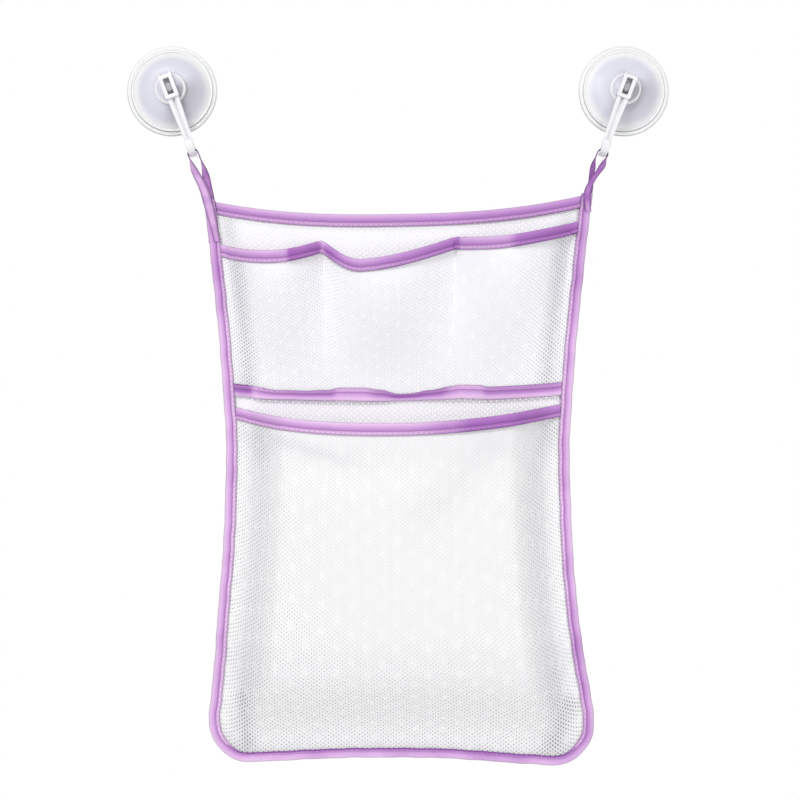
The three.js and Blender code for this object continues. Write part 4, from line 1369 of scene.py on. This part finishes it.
def stitch_tree():
    """Geometry nodes for rows of stitches: a small bead of thread on every pitch of the lines."""
    tree, given = layout_tree(
        "Stitch row",
        {
            "Lines": "Geometry",
            "Pitch": "Float",
            "Length": "Float",
            "Width": "Float",
            "Seed": "Int",
            "Finish": "Material",
        },
    )
    line = place(tree, "GeometryNodeMeshToCurve", {"Mesh": given["Lines"]}).outputs["Curve"]
    pitch = {"Curve": line, "Length": given["Pitch"]}
    holes = place(tree, "GeometryNodeResampleCurve", pitch, mode="LENGTH").outputs["Curve"]
    run = {"Vector": place(tree, "GeometryNodeInputTangent").outputs["Tangent"]}
    led = place(tree, "FunctionNodeAlignRotationToVector", run, axis="X").outputs["Rotation"]
    out = place(tree, "GeometryNodeInputNamedAttribute", {"Name": "out"}, data_type="FLOAT_VECTOR")
    turned = place(
        tree,
        "FunctionNodeAlignRotationToVector",
        {"Rotation": led, "Vector": out.outputs["Attribute"]},
        axis="Z",
        pivot_axis="X",
    )
    bead = place(tree, "GeometryNodeMeshUVSphere", {"Segments": 6, "Rings": 5, "Radius": 0.5})
    pulls = {2: SHORTEST_STITCH, 3: LONGEST_STITCH, "Seed": given["Seed"]}
    pulled = place(tree, "FunctionNodeRandomValue", pulls, data_type="FLOAT").outputs[1]
    size = {
        "X": reckon(tree, "MULTIPLY", given["Length"], pulled),
        "Y": given["Width"],
        "Z": given["Width"],
    }
    sewn = place(
        tree,
        "GeometryNodeInstanceOnPoints",
        {
            "Points": holes,
            "Instance": bead.outputs["Mesh"],
            "Rotation": turned.outputs["Rotation"],
            "Scale": place(tree, "ShaderNodeCombineXYZ", size).outputs["Vector"],
        },
    )
    real = place(tree, "GeometryNodeRealizeInstances", {"Geometry": sewn.outputs[0]})
    soft = place(tree, "GeometryNodeSetShadeSmooth", {0: real.outputs[0]})
    return end_layout(tree, soft.outputs[0], given["Finish"])


def stitch_lines(rows):
    """A mesh of edges along the kept stitch lines, with the way out of the tape and its turn."""
    points, outs, turns = (np.concatenate(column) for column in zip(*rows))
    edges, start = [], 0
    for row, _, _ in rows:
        edges += [(start + i, start + i + 1) for i in range(len(row) - 1)]
        start += len(row)
    mesh = bpy.data.meshes.new("stitch_lines")
    mesh.from_pydata([tuple(point) for point in points], edges, [])
    way = mesh.attributes.new("out", "FLOAT_VECTOR", "POINT")
    way.data.foreach_set("vector", outs.astype(np.float32).ravel())
    keep(mesh, "turned", turns)
    return mesh


stitches = grown(
    "bag_stitches",
    stitch_tree(),
    {
        "Pitch": STITCH_PITCH,
        "Length": STITCH_LENGTH,
        "Width": STITCH_WIDTH,
        "Seed": STITCH_SEED,
        "Finish": finish("sewing_thread", sewing),
    },
    stitch_lines(stitch_rows),
)
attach(stitches, "bag")

# Hanging loops. Each is a length of the same tape that goes up from the bag's top corner, over the
# hook's seat and down again. Its legs are sewn on the edge binding, one before the other, and turn a
# quarter on the way up. Their ends are turned in to short tails.
LOOP_TAPE = 1.1 * MM
LOOP_WIDTH = 9.0 * MM
LOOP_PLAY = 0.7 * MM
LOOP_POINTS = 17
LOOP_ROUND = 6
LOOP_DIP = 0.25 * MM
DIP_AT = 0.2
DIP_WIDTH = 0.25
LOOP_TONE = 0.24
LOOP_TONE_CURVE = 1.5
# Painted shade on the loops: each leg and tail darker by a set amount, and darker towards the tape's edges.
LOOP_PAINTED_SHADE = {"left": {1: 0.2, -1: 0.6}, "right": {1: 0.95, -1: 1.0}}
LOOP_SHADE_CHANGE = 0.2
LOOP_WAVES = (29 * MM, 13 * MM)
LOOP_EDGE_PAINTED_SHADE = {"left": 0.5, "right": 0.9}
EDGE_CURVE = 4
HOOK_LEAN = math.radians(20.5)
SEAT_REACH = 63.4 * MM
BAR_RADIUS = 3.4 * MM
LEG_STEPS = 40
CROWN_STEPS = 20
LEG_WIDTH = {"left": 0.82, "right": 0.54}
NARROWED_AT = 1 / 2
SPREAD_FROM = 2 / 3
LEG_CROSS = {"left": -1.0 * MM, "right": 1.8 * MM}
TURN_POWER = {1: 0.7, -1: 1.35}
FACE_TURN = {"left": 1.5, "right": 1.9}
SEWN_WIDTH = {"left": 0.98, "right": 0.74}
SEWN_STEPS = 10
SEWN_LIFT = 3.4 * MM
TAIL_LENGTH = {"left": 38 * MM, "right": 17 * MM}
TAIL_SHIFT = {"left": 3.0 * MM, "right": -2.6 * MM}
TAIL_WIDTH = 0.62
TAIL_PAINTED_SHADE = 0.35
EASING = 60
EASED_RISE = 16 * MM


def loop_section(count):
    """Flat sections of the loop's tape with round edges, (across, along), and their place in its tones,
    which darken to its edges as painted shade.
    """
    half = LOOP_WIDTH / 2
    run = -half * np.cos(np.linspace(0, math.pi, LOOP_POINTS))
    dip = LOOP_DIP * patch(run, DIP_AT * half, DIP_WIDTH * half)
    thick = LOOP_TAPE / 2 * np.sqrt(np.clip(1 - (run / half) ** LOOP_ROUND, 0, 1)) - dip
    front = np.stack([thick, run], axis=-1)
    back = np.stack([-thick[-2:0:-1], run[-2:0:-1]], axis=-1)
    section = np.concatenate([front, back])
    around = LOOP_TONE * (1 - np.abs(section[:, 1]) / half) ** LOOP_TONE_CURVE
    return np.broadcast_to(section, (count, *section.shape)), around


def hanging_loop(side, sign):
    """A loop from its sewn front end, up, over the hook's seat, and down to its sewn back end."""
    low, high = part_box(f"{side}_suction_cup")
    cup_x = (low.x + high.x) / 2
    reach = SEAT_REACH + BAR_RADIUS
    top = np.array([cup_x - sign * reach * math.sin(HOOK_LEAN), bag_y, -reach * math.cos(HOOK_LEAN)])
    corner = corner_height(sign)
    bottom = np.array([sign * float(half_width(corner)), bag_y, corner])
    up = (top - bottom) / np.linalg.norm(top - bottom)
    back = np.array([0.0, 1.0, 0.0])
    square = np.cross(back, up) * sign
    level = np.array([sign, 0.0, 0.0])
    top_spread = BAR_RADIUS + LOOP_PLAY + LOOP_TAPE / 2
    rows = []

    def leg(t, way):
        """A station of a leg, from 0 at the seat to 1 at the bag's corner. way is 1 in the front leg."""
        outward = mix(square, level, t * t)
        outward = outward / np.linalg.norm(outward)
        lay = smooth(t) ** TURN_POWER[way] * math.pi / 2
        spread = way * mix(top_spread, SEWN_LIFT, smooth(t))
        offset = (outward * math.cos(lay) - back * math.sin(lay)) * spread
        offset -= level * way * LEG_CROSS[side] * smooth(t)
        turn = smooth(t * FACE_TURN[side]) ** TURN_POWER[way] * math.pi / 2
        normal = outward * math.cos(turn) - back * math.sin(turn)
        wide = back * math.cos(turn) + outward * math.sin(turn)
        narrowed = mix(1, LEG_WIDTH[side], smooth(t / NARROWED_AT))
        width = mix(narrowed, SEWN_WIDTH[side], smooth((t - SPREAD_FROM) / (1 - SPREAD_FROM)))
        rows.append((mix(top, bottom, t) + offset, normal * way, wide, LOOP_PAINTED_SHADE[side][way], width))

    def sewn(run, way):
        """A station of a sewn end, at a length below the bag's corner."""
        z = corner - run
        share = smooth(run / TAIL_LENGTH[side])
        shift = way * mix(LEG_CROSS[side], TAIL_SHIFT[side], share)
        at = np.array([sign * (float(half_width(z)) - shift), bag_y - way * SEWN_LIFT, z])
        turn = mix(LOOP_PAINTED_SHADE[side][way], TAIL_PAINTED_SHADE, share)
        rows.append((at, -back * way, level, turn, mix(SEWN_WIDTH[side], TAIL_WIDTH, share)))

    for run in np.linspace(TAIL_LENGTH[side], 0, SEWN_STEPS, endpoint=False):
        sewn(run, 1)
    for t in np.linspace(1, 0, LEG_STEPS):
        leg(t, 1)
    for angle in np.linspace(0, math.pi, CROWN_STEPS)[1:-1]:
        normal = square * math.cos(angle) + up * math.sin(angle)
        rows.append((top + normal * top_spread, normal, back, LOOP_PAINTED_SHADE[side][-1], 1))
    for t in np.linspace(0, 1, LEG_STEPS):
        leg(t, -1)
    for run in np.linspace(0, TAIL_LENGTH[side], SEWN_STEPS + 1)[1:]:
        sewn(run, -1)
    origin, across, along, turned, width = (np.array(column) for column in zip(*rows))
    eased = 0.5 * (origin[1:-1, 2] < corner + EASED_RISE)[:, None]
    for _ in range(EASING):
        origin[1:-1] = mix(origin[1:-1], (origin[:-2] + origin[2:]) / 2, eased)
    section, around = loop_section(len(origin))
    section = in_width(section, width)
    turned = turned + LOOP_SHADE_CHANGE * wander(lengths(origin), *LOOP_WAVES)
    from_middle = np.abs(2 * section[:, :, 1] / LOOP_WIDTH) / width[:, None]
    turned = turned[:, None] + LOOP_EDGE_PAINTED_SHADE[side] * from_middle**EDGE_CURVE
    loop = swept(f"{side}_loop_tape", origin, across, along, section, around, turned, satin_tape)
    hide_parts(f"{side}_loop")
    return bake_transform(loop)


hanging_loop("left", -1)
hanging_loop("right", 1)

# Studio. A pale floor well below the bag, three soft lamps, and a white surround that the camera, gloss
# and clear vinyl see brighter than it lights the bag.
CAMERA_DISTANCE = 1.2
VIEW_HALF_WIDTH = 0.368
VIEW_CENTRE = (0.0019, -0.2838)
LAMPS_AIM = (0, 0, -0.3)
LIGHT_LEVEL = 0.6
SEEN_LEVEL = 1.0
FLOOR_DROP = 0.3
FLOOR_RADIUS = 0.78
FLOOR_SIDES = 96
FLOOR_TONE = (0.9, 0.9, 0.9, 1)

lens = bpy.data.cameras.new("camera")
lens.angle = 2 * math.atan(VIEW_HALF_WIDTH / CAMERA_DISTANCE)
camera = put("camera", lens)
camera.location = (VIEW_CENTRE[0], -CAMERA_DISTANCE, VIEW_CENTRE[1])
camera.rotation_euler = (math.pi / 2, 0, 0)
bpy.context.scene.camera = camera


def lamp(name, at, size, power):
    light = bpy.data.lights.new(name, "AREA")
    light.shape = "DISK"
    light.size = size
    light.energy = power
    made = put(name, light)
    made.location = at
    made.rotation_euler = (Vector(LAMPS_AIM) - Vector(at)).to_track_quat("-Z", "Y").to_euler()


lamp("key", at=(-0.85, -1.55, 0.85), size=0.6, power=15.5)
lamp("fill", at=(1.0, -1.6, -0.35), size=1.2, power=7.5)
lamp("back", at=(0.3, 1.6, 0.6), size=1.5, power=9)

world = bpy.data.worlds.new("surround")
world.use_nodes = True
bpy.context.scene.world = world
sky = world.node_tree
sky.nodes.clear()
rays = place(sky, "ShaderNodeLightPath").outputs
seen = reckon(sky, "MAXIMUM", rays["Is Camera Ray"], rays["Is Glossy Ray"])
seen = reckon(sky, "MAXIMUM", seen, rays["Is Transmission Ray"])
strength = ranged(sky, seen, 0.0, 1.0, LIGHT_LEVEL, SEEN_LEVEL)
surround = place(sky, "ShaderNodeBackground", {"Color": (1, 1, 1, 1), "Strength": strength})
place(sky, "ShaderNodeOutputWorld", {"Surface": surround.outputs["Background"]})

floor_z = cad_box[0].z - FLOOR_DROP
floor_edge = [
    (FLOOR_RADIUS * math.cos(a), FLOOR_RADIUS * math.sin(a), floor_z)
    for a in np.linspace(0, 2 * math.pi, FLOOR_SIDES, endpoint=False)
]
pale_floor = finish("pale_floor", lambda tree: {"Base Color": FLOOR_TONE, "Roughness": 0.7})
floor = mesh_object("floor", floor_edge, [tuple(range(FLOOR_SIDES))], [pale_floor], smooth=False)

bpy.context.scene.view_settings.view_transform = "Standard"
